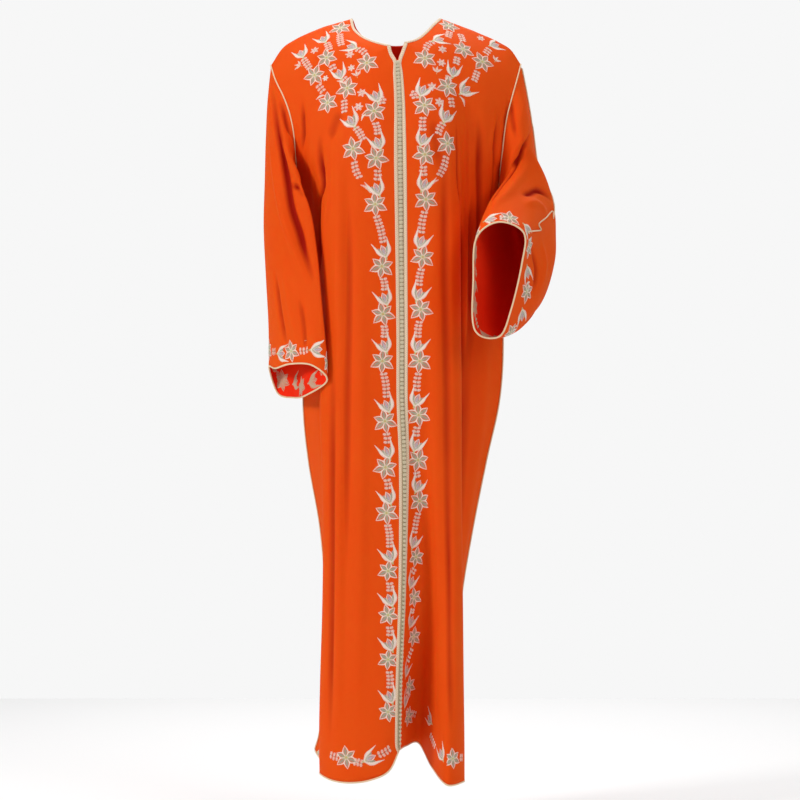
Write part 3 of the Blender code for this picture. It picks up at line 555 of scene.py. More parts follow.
# Half width and depth in mm, then the line: as seen in the picture, or in steps across and down the panel.
# A depth below nothing is a ridge.
LEFT_CREASES = [
    (5, 9.0, "seen", [(113, -190), (117, -250), (121, -330), (123, -420), (124, -560), (124, -800),
                      (126, -1100)]),
    (5, -4.5, "seen", [(136, -165), (137, -260), (137, -350), (136, -480), (134, -640)]),
    (11, 7.0, "seen", [(136, -300), (141, -400), (143, -520), (140, -660)]),
    (8, 7.0, "seen", [(156, -170), (160, -260), (160, -350), (156, -440), (152, -620)]),
    (4, -4.0, "seen", [(187, -165), (182, -240), (179, -310), (175, -380)]),
    (4.5, 7.0, "seen", [(193, -165), (189, -240), (185, -310), (182, -390)]),
    (5, -3.0, "seen", [(202, -160), (199, -230), (195, -290)]),
    (4.5, 6.5, "seen", [(216, -140), (212, -205), (208, -260), (202, -310)]),
    (10, 5.0, "seen", [(92, -225), (94, -420), (96, -760), (100, -1150)]),
    (10, -3.6, "seen", [(72, -560), (74, -900), (80, -1250), (86, -1400)]),
    (8, 5.0, "seen", [(96, -880), (100, -1180), (108, -1400)]),
    (12, 3.4, "seen", [(66, -180), (78, -235), (84, -300)]),
    (14, 4.5, "steps", [(7.0, 8.5), (7.1, 11.5), (6.9, 15.0)]),
    (12, -3.5, "steps", [(8.0, 7.5), (8.1, 10.5), (7.9, 14.0)]),
]
RIGHT_CREASES = [
    (8, 11.0, "seen", [(-150, -215), (-148, -280), (-144, -325), (-147, -372), (-149, -440), (-152, -510)]),
    (5, -5.0, "seen", [(-132, -215), (-133, -290), (-138, -380), (-139, -480)]),
    (6, -4.0, "seen", [(-164, -215), (-163, -290), (-158, -370)]),
    (5, 6.5, "seen", [(-184, -150), (-181, -220), (-174, -300)]),
    (13, -6.0, "seen", [(-114, -215), (-113, -330), (-113, -470), (-116, -700)]),
    (9, 4.6, "seen", [(-95, -270), (-94, -520), (-97, -800), (-101, -1150)]),
    (12, -3.6, "seen", [(-72, -420), (-70, -700), (-72, -1050), (-76, -1400)]),
    (9, 5.5, "seen", [(-124, -560), (-126, -900), (-128, -1200), (-130, -1420)]),
    (13, 4.0, "seen", [(-108, -170), (-120, -205), (-133, -240)]),
    (8, -4.0, "seen", [(-108, -720), (-112, -1100), (-116, -1400)]),
    (13, 4.5, "steps", [(6.6, 9.0), (6.5, 12.0), (6.7, 15.2)]),
]
BACK_CREASES = [
    (13, 4.0, "steps", [(2.2, 0.9), (2.8, 2.6), (3.3, 4.6), (3.5, 7.5)]),
    (12, 3.6, "steps", [(9.9, 1.0), (9.3, 2.9), (8.9, 5.2), (8.7, 8.0)]),
    (14, 4.5, "steps", [(4.7, 3.0), (4.6, 6.0), (4.7, 9.5), (4.5, 15.0)]),
    (14, -4.0, "steps", [(6.2, 4.0), (6.1, 8.0), (6.2, 12.0), (6.3, 15.4)]),
    (12, 4.5, "steps", [(7.5, 4.6), (7.8, 8.5), (7.7, 12.0), (7.6, 15.6)]),
    (13, 3.0, "steps", [(1.2, 5.0), (1.3, 8.0), (1.1, 14.0)]),
    (13, -3.0, "steps", [(10.8, 5.2), (10.9, 9.0), (10.7, 14.0)]),
]


def grouped(name, inputs, outputs):
    """A new node group with those numbers in and out, and its first and last node."""
    group = bpy.data.node_groups.new(name, "ShaderNodeTree")
    for label, usual in inputs:
        group.interface.new_socket(label, in_out="INPUT", socket_type="NodeSocketFloat").default_value = usual
    for label in outputs:
        group.interface.new_socket(label, in_out="OUTPUT", socket_type="NodeSocketFloat")
    return group, group.nodes.new("NodeGroupInput"), group.nodes.new("NodeGroupOutput")


def figured(tree, operation, *values):
    """The outcome of one step of arithmetic on plain values or outputs."""
    return wired(tree, "ShaderNodeMath", enumerate(values), operation=operation).outputs[0]


def cut_place(tree):
    """How far along and across its flat pattern a spot lies, in metres."""
    flat_place = wired(tree, "ShaderNodeUVMap", uv_map="cut")
    return wired(tree, "ShaderNodeSeparateXYZ", [(0, flat_place.outputs[0])]).outputs


def patches(tree, scale, detail=3.0):
    """Soft patches through the piece, from 0 to 1."""
    where = wired(tree, "ShaderNodeTexCoord").outputs["Object"]
    spread = [("Vector", where), ("Scale", scale), ("Detail", detail)]
    return wired(tree, "ShaderNodeTexNoise", spread).outputs["Fac"]


weave, given, result = grouped(
    "plain_weave", [("Threads", 4800.0), ("Slub Width", 700.0)], ["Height", "Slub"])
split = cut_place(weave)
waves, streaks = [], []
for axis in (0, 1):
    waves.append(figured(weave, "SINE", figured(weave, "MULTIPLY", split[axis], given.outputs["Threads"])))
    fine = figured(weave, "MULTIPLY", split[axis], given.outputs["Slub Width"])
    long = figured(weave, "MULTIPLY", split[1 - axis], 45.0)
    place = wired(weave, "ShaderNodeCombineXYZ", [(0, fine), (1, long), (2, float(axis * 9))])
    streak = [("Vector", place.outputs[0]), ("Scale", 1.0), ("Detail", 2.0)]
    streaks.append(wired(weave, "ShaderNodeTexNoise", streak).outputs["Fac"])
feed(weave, result.inputs["Height"], figured(weave, "MULTIPLY", *waves))
feed(weave, result.inputs["Slub"], figured(weave, "MAXIMUM", *streaks))


def woven(tree, threads=4800.0, slub_width=700.0):
    """The weave's height and its slubs, for a cloth that fine."""
    fineness = [("Threads", threads), ("Slub Width", slub_width)]
    return wired(tree, "ShaderNodeGroup", fineness, node_tree=weave).outputs


ORANGE, ORANGE_SLUB, ORANGE_PATCH = (0.84, 0.086, 0.004), (0.77, 0.072, 0.003), (0.86, 0.106, 0.007)
# Painted shade: the first red below is what the cloth turns to where it lies deep in a fold
FOLD_SHADE_RED, INSIDE_SHADE_RED = (0.36, 0.004, 0.001), (0.95, 0.015, 0.004)
cotton, tree, shader = surface("orange_cotton")
threads = woven(tree)
slubbed = blended(tree, threads["Slub"], ORANGE, ORANGE_SLUB)
faded = blended(tree, ranged(tree, patches(tree, 5.0), 0.35, 0.75, 0.0, 0.35), slubbed, ORANGE_PATCH)
fold = wired(tree, "ShaderNodeAttribute", attribute_name="fold").outputs["Fac"]
inside = wired(tree, "ShaderNodeAttribute", attribute_name="inside").outputs["Fac"]
# Painted shade: the colour goes toward that dark red as the cloth lies deeper in a crease
dye_and_fold_shade = blended(tree, ranged(tree, fold, 0.12, 0.8, 0.0, 0.95), faded, FOLD_SHADE_RED)
# Painted light and shade: the inner layer is blended toward the second red, the deep red that light through
# the cloth and light bounced inside it give; the cloth itself is orange on both sides
finished(
    tree, shader, blended(tree, figured(tree, "MULTIPLY", inside, 0.85), dye_and_fold_shade, INSIDE_SHADE_RED),
    [(0.25, 0.0002, threads["Height"]), (0.35, 0.0004, threads["Slub"])],
    Roughness=ranged(tree, threads["Slub"], 0.0, 1.0, 0.58, 0.72), Specular_IOR_Level=0.06,
    Sheen_Weight=0.06, Sheen_Roughness=0.4, Sheen_Tint=(1.0, 0.35, 0.10, 1.0),
    Subsurface_Weight=0.4, Subsurface_Scale=0.0016, Subsurface_Radius=(1.0, 0.16, 0.05))


def drawn_in(panel, first, last):
    """The panel cut back a little from its first column, its last column and the shoulder seam."""
    cut = panel.copy()
    cut[:, 0] += unit(panel[:, 1] - panel[:, 0]) * first
    cut[:, -1] += unit(panel[:, -2] - panel[:, -1]) * last
    cut[0] += unit(panel[1] - panel[0]) * FRONT_ROOM
    return cut


panels = {}
for name, grid, sign, creases, seams, flat, area in (
    ("front_left", front_left, -1, LEFT_CREASES, [-1], (0.49, 1.49), 0.451),
    ("front_right", front_right, 1, RIGHT_CREASES, [-1], (0.35, 1.51), 0.447),
    ("back", back_panel, 1, BACK_CREASES, [0, -1], (0.62, 1.44), 0.587),
):
    out = outward(grid, sign)
    soft, fold = creased(grid, out, creases)
    for edge in seams:
        step = 1 if edge == 0 else -1
        puckered(soft, out, [edge + step * n for n in range(9)], PANEL_PUCKER)
        soft[:, edge] = grid[:, edge]
    soft[0] = grid[0]
    out = outward(soft, sign)
    panels[name] = (soft, out)
    sewn_room = SEAM_ROOM if name == "back" else FRONT_ROOM
    piece = cloth("cloth_" + name, drawn_in(soft, sewn_room, SEAM_ROOM), out, sign, fold)
    piece.data.materials.append(cotton)
    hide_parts(name)


# Sleeves
# Two long full sleeves of the same cotton, each a tube with its seam under the arm, set into the armholes.
# The right one hangs in a fold at the elbow. The left one is bent and raised, so its cuff opens forward.

# Hanging sleeve, wearer's right. Rings down the arm, each: outer, outer front, front, inner front, inner,
# inner back, back, outer back.
HANGING = [
    [(-249, 0, -150), (-244, -40, -184), (-225, -76, -228), (-198, -80, -272), (-212, -10, -322),
     (-216, 44, -280), (-226, 62, -225), (-242, 42, -176)],
    [(-253, 0, -230), (-244, -48, -254), (-220, -88, -286), (-182, -102, -322), (-192, -52, -370),
     (-205, 20, -340), (-220, 54, -293), (-243, 42, -252)],
    [(-255, -1, -310), (-244, -54, -326), (-214, -97, -346), (-164, -118, -376), (-168, -84, -424),
     (-195, 0, -404), (-216, 46, -367), (-243, 40, -331)],
    [(-257, -3, -400), (-244, -58, -408), (-210, -101, -420), (-158, -126, -440), (-152, -108, -478),
     (-184, -26, -468), (-210, 32, -448), (-242, 36, -422)],
    [(-253, -6, -490), (-240, -60, -494), (-208, -102, -500), (-156, -130, -510), (-144, -122, -540),
     (-176, -52, -542), (-206, 18, -534), (-239, 32, -514)],
    [(-248, -8, -580), (-235, -62, -582), (-205, -104, -583), (-156, -134, -590), (-136, -130, -613),
     (-172, -70, -641), (-201, 2, -640), (-235, 28, -619)],
    [(-247, -9, -630), (-233, -63, -631), (-203, -105, -627), (-157, -139, -631), (-132, -132, -655),
     (-171, -84, -691), (-199, -6, -692), (-233, 27, -676)],
    [(-247, -9, -670), (-232, -63, -672), (-202, -106, -664), (-160, -140, -667), (-131, -133, -695),
     (-171, -93, -723), (-198, -12, -728), (-231, 26, -719)],
]
# Raised sleeve, wearer's left, in the same columns: down to the elbow, then forward to the cuff
RAISED = [
    [(250, 5, -140), (246, -34, -168), (231, -58, -208), (214, -52, -258), (197, -6, -326),
     (228, 46, -266), (238, 60, -210), (248, 38, -161)],
    [(262, 6, -209), (254, -36, -218), (238, -63, -238), (213, -52, -280), (196, -10, -346),
     (234, 50, -304), (246, 62, -260), (262, 38, -222)],
    [(270, 9, -274), (261, -34, -255), (242, -58, -256), (209, -52, -302), (197, -11, -362),
     (236, 48, -350), (257, 62, -331), (274, 42, -297)],
    [(301, 22, -344), (279, -22, -297), (236, -54, -279), (204, -52, -322), (205, -4, -372),
     (231, 34, -418), (272, 56, -417), (301, 46, -382)],
    [(301, 0, -385), (270, -52, -334), (219, -76, -305), (194, -74, -340), (191, -48, -403),
     (220, -10, -480), (281, 16, -489), (306, 12, -434)],
    [(289, -52, -413), (262, -100, -362), (204, -122, -336), (172, -124, -368), (169, -108, -445),
     (194, -78, -550), (266, -50, -561), (302, -36, -472)],
    [(266, -115, -446), (252, -148, -393), (197, -166, -368), (158, -172, -398), (153, -162, -477),
     (166, -138, -589), (234, -112, -599), (279, -100, -519)],
    [(247, -160, -462), (245, -180, -410), (193, -194, -390), (151, -202, -419), (145, -198, -496),
     (153, -182, -602), (208, -162, -613), (240, -152, -550)],
    [(235, -190, -478), (238, -198, -421), (190, -208, -401), (148, -216, -431), (142, -216, -508),
     (145, -206, -603), (192, -192, -616), (215, -188, -565)],
]
SLEEVE_LINES = 20
RING_STEP = 18
SLEEVE_SMOOTHING = 10
# Half width and depth in mm, then the line: as seen in the picture, or in places round and rings down the arm
HANGING_CREASES = [
    (8, 12.0, "seen", [(-243, -120), (-232, -215), (-216, -296), (-206, -361), (-191, -410), (-178, -455),
                       (-158, -512)]),
    (8, -5.5, "seen", [(-248, -215), (-236, -300), (-222, -372), (-200, -442), (-172, -515)]),
    (6, 8.0, "seen", [(-226, -262), (-207, -304), (-194, -322), (-176, -345)]),
    (6, -5.0, "seen", [(-222, -230), (-206, -275), (-184, -318)]),
    (5, 6.5, "seen", [(-226, -150), (-212, -205), (-197, -250)]),
    (7, 5.0, "seen", [(-236, -480), (-226, -560), (-212, -640)]),
    (8, -3.5, "seen", [(-222, -470), (-208, -550), (-192, -640)]),
    (6, 4.5, "seen", [(-190, -530), (-182, -590), (-178, -650)]),
    (9, 6.0, "steps", [(6.2, 1.3), (6.0, 2.8), (5.7, 4.2)]),
    (8, 5.0, "steps", [(5.4, 4.3), (6.1, 5.6), (6.7, 6.8)]),
    (7, 4.5, "steps", [(7.3, 0.8), (7.1, 2.2), (7.3, 3.2)]),
]
RAISED_CREASES = [
    (5, 10.0, "seen", [(262, -195), (248, -242), (236, -270), (212, -305), (190, -336), (180, -354)]),
    (9, -6.0, "seen", [(262, -262), (240, -300), (212, -334), (190, -356), (178, -380)]),
    (6, 9.0, "seen", [(240, -340), (258, -334), (276, -330), (302, -350)]),
    (8, -5.5, "seen", [(246, -358), (268, -354), (292, -376)]),
    (6, 5.0, "seen", [(214, -150), (222, -190), (230, -235)]),
    (8, 5.5, "seen", [(262, -430), (270, -480), (262, -530)]),
    (8, -3.5, "seen", [(278, -420), (286, -470), (276, -520)]),
    (9, 6.0, "steps", [(6.0, 2.0), (6.4, 3.4), (6.2, 4.8)]),
    (8, 5.5, "steps", [(4.6, 3.3), (5.3, 4.4), (5.6, 5.8)]),
    (8, 4.5, "steps", [(6.8, 4.6), (6.2, 6.0), (6.3, 7.6)]),
]


def sleeve(armhole, rings, straight):
    """A sleeve from its armhole down: straight cloth as far as that ring, and curved cloth after it."""
    places = np.linspace(0, len(rings[0]), len(armhole), endpoint=False)
    control = np.array([armhole] + [along(ring, places, closed=True) for ring in rings])
    at = np.arange((len(control) - 1) * SLEEVE_LINES + 1) / SLEEVE_LINES
    grid = along(control, at)
    if straight:
        knots = np.concatenate([[0, 0.5], np.arange(1, straight + 1)])
        coarse = along(control, knots)
        first = at[at <= straight]
        i = np.clip(np.searchsorted(knots, first, side="right") - 1, 0, len(knots) - 2)
        f = ((first - knots[i]) / (knots[i + 1] - knots[i]))[:, None, None]
        grid[: len(first)] = coarse[i] * (1 - f) + coarse[i + 1] * f
        for _ in range(SLEEVE_SMOOTHING):
            middle_rows = grid[1 : len(first) + 4]
            middle_rows += ((grid[: len(first) + 3] + grid[2 : len(first) + 5]) / 2 - middle_rows) * 0.5
    return grid


for name, side, rings, straight, sign, creases, flat, area in (
    ("sleeve_right", 0, HANGING, 0, -1, HANGING_CREASES, (0.545, 0.59), 0.206),
    ("sleeve_left", -1, RAISED, 3, 1, RAISED_CREASES, (0.646, 0.60), 0.201),
):
    body, rear = panels["front_right" if side == 0 else "front_left"][0], panels["back"][0]
    armhole = np.concatenate([body[: UNDERARM + 1, -1], rear[UNDERARM - 1 : 0 : -1, side]])
    grid = sleeve(armhole, rings, straight)
    out = outward(grid, sign, closed=True)
    soft, fold = creased(grid, out, creases, SLEEVE_LINES, RING_STEP)
    puckered(soft.swapaxes(0, 1), out.swapaxes(0, 1), range(5), SLEEVE_PUCKER)
    soft[0] = armhole
    out = outward(soft, sign, closed=True)
    panels[name] = (soft, out)
    cut = soft.copy()
    cut[0] += unit(soft[1] - soft[0]) * SEAM_ROOM
    piece = cloth("cloth_" + name, cut, out, sign, fold, closed=True)
    piece.data.materials.append(cotton)
    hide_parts(name)


# Piping
# Thin cords covered in cream cotton cut on the bias, sewn into the armholes and side seams, down each
# sleeve's seam, and round the cuffs and hem.
PIPING_SEAM = 1.3
PIPING_EDGE = 1.7
PIPING_SIDES = 7
SLEEVE_SEAM = {"right": 132, "left": 0}
# The raised sleeve's seam turns aside at this row, and goes on through these places as seen
SEAM_TURNS = 100
SEAM_JOG = [(299, -370), (286, -382), (273, -394), (276, -406), (264, -408), (252, -410)]


def lofted(name, rings, closed=False):
    """A form through rings of points, with its length and girth laid flat for its pattern."""
    n, k = rings.shape[:2]
    run = np.linalg.norm(np.roll(rings[:, 0], -1, axis=0) - rings[:, 0], axis=-1)
    length = np.concatenate([[0], np.cumsum(run)]) * MM
    girth = np.linspace(0, np.linalg.norm(rings[0] - np.roll(rings[0], 1, axis=0), axis=-1).sum() * MM, k + 1)
    corners = squares(n if closed else n - 1, k)
    faces = numbered(corners, n, k).tolist()
    flat = np.stack([np.stack([length[r], girth[c]], -1) for r, c in corners], 1).reshape(-1, 2)
    if not closed:
        faces += [list(range(k))[::-1], [(n - 1) * k + m for m in range(k)]]
        flat = np.concatenate([flat, np.zeros((2 * k, 2))])
    return shown(name, rings, faces, flat)


def hoops(centres, way, out, radius, turn):
    """A ring of points round each centre, at those turns away from the direction out."""
    aside = np.cross(way, out)
    ring = out[:, None] * np.cos(turn)[None, :, None] + aside[:, None] * np.sin(turn)[None, :, None]
    return centres[:, None] + ring * radius


def tube(name, centres, out, radius, closed=False):
    """Round piping along a line of points."""
    way = unit(slope(centres, closed))
    out = unit(out - way * np.sum(out * way, axis=1, keepdims=True))
    turn = -np.arange(PIPING_SIDES) * 2 * np.pi / PIPING_SIDES
    return lofted(name, hoops(centres, way, out, radius, turn), closed)


bias, tree, shader = surface("cream_bias_piping")
threads = woven(tree, 6500.0, 900.0)
creamy = blended(tree, threads["Slub"], (0.90, 0.68, 0.43), (0.80, 0.58, 0.34))
worn = blended(tree, ranged(tree, patches(tree, 22.0), 0.45, 0.8, 0.0, 0.4), creamy, (0.78, 0.50, 0.30))
finished(tree, shader, worn, [(0.3, 0.0002, threads["Height"])],
         Roughness=0.62, Sheen_Weight=0.2, Specular_IOR_Level=0.3)


def piped(piece, node):
    """Gives a length of piping its bias cotton and hides the imported part it stands for."""
    piece.data.materials.append(bias)
    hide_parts(node)


def rim_of(grid, out):
    """The line of the piping that closes off a panel's lower edge."""
    return grid[-1] - out[-1] * CLOTH / 2 + unit(grid[-1] - grid[-2]) * PIPING_EDGE * 0.8


rear, rear_out = panels["back"]
for hand, side in (("right", 0), ("left", -1)):
    body, body_out = panels["front_" + hand]
    arm, arm_out = panels["sleeve_" + hand]
    seam_out = np.concatenate([body_out[: UNDERARM + 1, -1], rear_out[UNDERARM - 1 : 0 : -1, side]])
    facing = unit(seam_out + arm_out[0])
    piped(tube("piping_armhole_" + hand, arm[0] + facing * 0.5, facing, PIPING_SEAM, closed=True),
          "armhole_piping_" + hand)
    facing = unit(body_out[UNDERARM:, -1] + rear_out[UNDERARM:, side])
    piped(tube("piping_side_" + hand, body[UNDERARM:, -1] + facing * 0.5, facing, PIPING_SEAM),
          "side_piping_" + hand)
    line, last = SLEEVE_SEAM[hand], len(arm) if hand == "right" else SEAM_TURNS
    seam, facing = arm[3:last, line], arm_out[3:last, line]
    if hand == "left":
        spots = [np.argwhere((arm == seen_at(arm, arm_out, x, z)).all(axis=-1))[0] for x, z in SEAM_JOG]
        jog = spaced([seam[-1]] + [arm[r, c] for r, c in spots], 8 * len(spots) + 1)[1:]
        jog_out = spaced([facing[-1]] + [arm_out[r, c] for r, c in spots], 8 * len(spots) + 1)[1:]
        seam, facing = np.concatenate([seam, jog]), np.concatenate([facing, unit(jog_out)])
    piped(tube("piping_sleeve_" + hand, seam + facing * PIPING_SEAM * 0.9, facing, PIPING_SEAM),
          "sleeve_piping_" + hand)
    piped(tube("piping_cuff_" + hand, rim_of(arm, arm_out), arm_out[-1], PIPING_EDGE, closed=True),
          "cuff_piping_" + hand)
for name in ("front_right", "front_left", "back"):
    grid, out = panels[name]
    piped(tube("piping_hem_" + name, rim_of(grid, out), out[-1], PIPING_EDGE), "hem_piping_" + name)


# Braids
# Flat plaited cotton braid, 7 mm wide down both front edges beside the knots, and a narrower one that
# covers the neck edge. They are sewn on top of the cloth.
BRAID_ACROSS = [4.7, 5.6, 7.0, 8.45, 9.9, 11.3, 12.2]
BRAID_AT_HEM = 0.72
BRAID_HEIGHTS = [0.25, 1.05, 1.35, 1.15, 1.35, 1.05, 0.25]
NECK_ACROSS = [-0.5, 0.3, 1.5, 2.4, 3.4, 4.5, 5.2]
NECK_HEIGHTS = [0.1, 0.9, 1.2, 1.05, 1.2, 0.9, 0.2]


def read_at(distances, run, points):
    """The points or directions at those distances, where run says how far along each given one is."""
    return np.stack([np.interp(distances, run, points[:, axis]) for axis in range(3)], axis=-1)


def from_edge(rows, distances):
    """On each row of points, the place that far along it from its first point."""
    return np.array([read_at(distance, length_along(row), row) for row, distance in zip(rows, distances)])


def braided(name, tops, out, heights, node):
    """A crowned strip over lines of points on the cloth, raised by those heights."""
    top = np.stack([line + out * h for line, h in zip(tops, heights)], axis=1)
    low = np.stack([tops[-1] + out * 0.1, tops[len(tops) // 2] + out * 0.1, tops[0] + out * 0.1], axis=1)
    piece = lofted(name, np.concatenate([top, low], axis=1))
    piece.data.materials.append(plait)
    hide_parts(node)


plait, tree, shader = surface("cream_plait")
split = cut_place(tree)
slant = figured(tree, "ADD", figured(tree, "PINGPONG", split[1], 0.0034), split[0])
strand = figured(tree, "SINE", figured(tree, "MULTIPLY", slant, 1500.0))
# Painted shade and highlight: the plait is darker where its strands dip into the grooves and lighter on their
# crowns, following the bands of its bump
strands = blended(tree, ranged(tree, strand, -1.0, 1.0, 0.0, 1.0), (0.72, 0.50, 0.32), (0.94, 0.74, 0.52))
worn = blended(tree, ranged(tree, patches(tree, 30.0), 0.45, 0.8, 0.0, 0.35), strands, (0.76, 0.55, 0.36))
finished(tree, shader, worn, [(0.6, 0.0006, strand)], Roughness=0.55, Sheen_Weight=0.3)

for hand in ("right", "left"):
    grid, out = panels["front_" + hand]
    rows = slice(NECK_CORNER, len(grid))
    aside = np.interp(np.arange(NECK_CORNER, len(grid)), [NECK_CORNER, NECK_V - 2, NECK_V + 3], [4.4, 4.0, 0])
    narrowed = np.interp(np.arange(NECK_CORNER, len(grid)), [60, len(grid)], [1.0, BRAID_AT_HEM])
    tops = [from_edge(grid[rows, :20], (d - aside) * narrowed) for d in BRAID_ACROSS]
    facing = unit(out[rows, 1] + out[rows, 3])
    if hand == "left":
        tops = tops[::-1]
    braided("braid_front_" + hand, tops, facing, BRAID_HEIGHTS, "placket_braid_" + hand)

right, right_out = panels["front_right"]
left, left_out = panels["front_left"]
first, last = BACK_SEAM * BACK_FINE, (BACK_SEAM + BACK_NECK_LINES) * BACK_FINE
edge, way, facing = [], [], []
for r in range(NECK_CORNER, 0, -1):
    edge.append(right[r, 0])
    way.append(unit(right[r, 2] - right[r, 0]))
    facing.append(right_out[r, 1])
for c in range(first, last + 1):
    toward = unit(rear[2, c] - rear[0, c])
    for end, beyond in ((first, -3), (last, 3)):
        near = max(0.0, 1 - abs(c - end) / 8)
        toward = toward * (1 - near) + unit(rear[0, end + beyond] - rear[0, end]) * near
    edge.append(rear[0, c])
    way.append(unit(toward))
    facing.append(rear_out[1, c])
for r in range(1, NECK_CORNER + 1):
    edge.append(left[r, 0])
    way.append(unit(left[r, 2] - left[r, 0]))
    facing.append(left_out[r, 1])
edge, way, facing = np.array(edge), np.array(way), np.array(facing)
for _ in range(6):
    facing[1:-1] = unit(facing[1:-1] + (facing[:-2] + facing[2:]) / 2)
    way[1:-1] = unit(way[1:-1] + (way[:-2] + way[2:]) / 2)
braided("braid_neck", [edge + way * d for d in NECK_ACROSS], facing, NECK_HEIGHTS, "neck_braid")


# Knotted buttons
# A close row of small knots of twisted sage-gold cord, each buttoned through a loop of the same cord, over
# the line where the fronts meet. They stay closed, from the neck slit down to the hem.
KNOT_PITCH = 7.8
KNOT_WIDE, KNOT_HIGH = 4.3, 2.9
CORD = 0.95
KNOT_LIFT = 0.7
TILT_SPREAD, SIZE_SPREAD = 0.10, 0.04
TAPE_HALF = 4.6


def rope(path, radius, sides=5):
    """Points and faces of a closed loop of cord."""
    way = unit(slope(path, closed=True))
    out = unit(np.cross(way, [0.3, 0.2, 1.0]))
    turn = np.arange(sides) * 2 * np.pi / sides
    faces = numbered(squares(len(path), sides), len(path), sides)
    return hoops(path, way, out, radius, turn).reshape(-1, 3), faces


# A figure of eight lying on the tape, and a wrap round its waist: mm across, along and out of the row
t = np.linspace(0, 2 * np.pi, 20, endpoint=False)
eight = [KNOT_WIDE * np.sin(t) * 0.82, KNOT_HIGH * np.sin(2 * t) * 0.8, 1.7 + 0.8 * np.cos(t)]
t = np.linspace(0, 2 * np.pi, 12, endpoint=False)
wrap = [1.5 * np.cos(t), 3.0 * np.sin(t), 2.1 + 1.2 * np.cos(t) ** 2]
eight_points, eight_faces = rope(np.stack(eight, axis=1), CORD)
wrap_points, wrap_faces = rope(np.stack(wrap, axis=1), CORD * 0.9)
knot_points = np.concatenate([eight_points, wrap_points])
knot_faces = np.concatenate([eight_faces, wrap_faces + len(eight_points)])

middle = (left[NECK_V:, 0] + right[NECK_V:, 0]) / 2
up_out = unit(left_out[NECK_V:, 2] + right_out[NECK_V:, 2])
run = length_along(middle)
stations = np.arange(KNOT_PITCH * 0.7, run[-1] - 3, KNOT_PITCH)
at = read_at(stations, run, middle)
out = unit(read_at(stations, run, up_out))
way = unit(np.gradient(at, axis=0))
aside = unit(np.cross(way, out))
chance = np.random.default_rng(7)
points = []
for place, x_way, y_way, z_way, narrowed in zip(at, aside, way, out, np.linspace(1.0, BRAID_AT_HEM, len(at))):
    tilt, grown = chance.normal(0, TILT_SPREAD), narrowed * (1 + chance.normal(0, SIZE_SPREAD))
    x_turned = x_way * math.cos(tilt) + y_way * math.sin(tilt)
    y_turned = y_way * math.cos(tilt) - x_way * math.sin(tilt)
    local = knot_points * grown
    flat_on = place + local[:, :1] * x_turned + local[:, 1:2] * y_turned
    points.append(flat_on + (local[:, 2:] + KNOT_LIFT) * z_way)
faces = np.concatenate([knot_faces + len(knot_points) * n for n in range(len(at))]).tolist()
knots = shown("knots", np.concatenate(points), faces)
cord, tree, shader = surface("sage_gold_cord")
where = wired(tree, "ShaderNodeTexCoord")
twist = wired(tree, "ShaderNodeTexWave", [
    ("Vector", where.outputs["Object"]), ("Scale", 420.0), ("Distortion", 2.0)], bands_direction="DIAGONAL")
# Painted shade and highlight: the cord is darker in the grooves of its twist and lighter on its strands,
# following the bands of its bump
strands = blended(tree, twist.outputs["Fac"], (0.60, 0.52, 0.34), (0.84, 0.76, 0.56))
mottled = blended(tree, patches(tree, 160.0, 2.0), strands, (0.78, 0.68, 0.48))
finished(tree, shader, mottled, [(0.4, 0.0003, twist.outputs["Fac"])], Roughness=0.5, Sheen_Weight=0.25)
knots.data.materials.append(cord)
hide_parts("button_band")

sides = []
for grid in (right, left):
    half = np.linspace(TAPE_HALF, TAPE_HALF * BRAID_AT_HEM, len(middle))[:, None]
    sides.append(grid[NECK_V:, 0] + unit(grid[NECK_V:, 1] - grid[NECK_V:, 0]) * half)
ring = [sides[0] + up_out * 0.15, sides[0] + up_out * 0.6, middle + up_out * 0.75, sides[1] + up_out * 0.6,
        sides[1] + up_out * 0.15, middle + up_out * 0.15]
tape = lofted("knot_tape", np.stack(ring, axis=1))
twill, tree, shader = surface("olive_tape")
threads = woven(tree, 5200.0, 800.0)
dye_and_fold_shade = blended(tree, threads["Slub"], (0.46, 0.38, 0.23), (0.36, 0.29, 0.16))
finished(tree, shader, dye_and_fold_shade, [(0.3, 0.0002, threads["Height"])], Roughness=0.7)
tape.data.materials.append(twill)


# Embroidery
# Hand-worked vines in satin stitch, in thick pale pink, olive, lilac-grey and sage silk: stars, tulips,
# ferns and small blossoms over the chest and down both fronts, and a band round the hem and each cuff.
THREADS = [
    # name, colour, darker colour, as the threads of one hank vary
    ("pale", (0.94, 0.77, 0.66), (0.82, 0.60, 0.50)),
    ("olive", (0.36, 0.34, 0.22), (0.22, 0.21, 0.12)),
    ("lilac", (0.58, 0.45, 0.52), (0.40, 0.32, 0.40)),
    ("sage", (0.56, 0.58, 0.20), (0.42, 0.44, 0.13)),
    ("dark", (0.16, 0.13, 0.055), (0.11, 0.09, 0.04)),
    # The reverse is one muted colour for every stitch on the inside of the cuffs, with the red shade there
    # painted into it
    ("reverse", (0.62, 0.36, 0.20), (0.50, 0.26, 0.13)),
]
PALE, OLIVE, LILAC, SAGE, DARK, SHADED_REVERSE = range(len(THREADS))
THREAD_HEIGHT = 0.55
PITCH = 1.25
STEM_STITCH = 4
STITCH_REACH, STITCH_SLIP = 14, 1.2
SMALL_STARS_FROM = -1000
SMALL_STAR = 0.86
VINE_RIGHT = [
    # x, z, turn of each star, down the wearer's right front
    (-58, -83, 8), (-44, -176, -12), (-40, -267, 20), (-42, -356, 4), (-29, -476, -9), (-27, -568, 14),
    (-28, -659, -4), (-23, -775, 10), (-22, -864, -14), (-20, -952, 6), (-17, -1064, -8),
    (-17, -1149, 16), (-17, -1235, -5), (-17, -1336, 9),
]
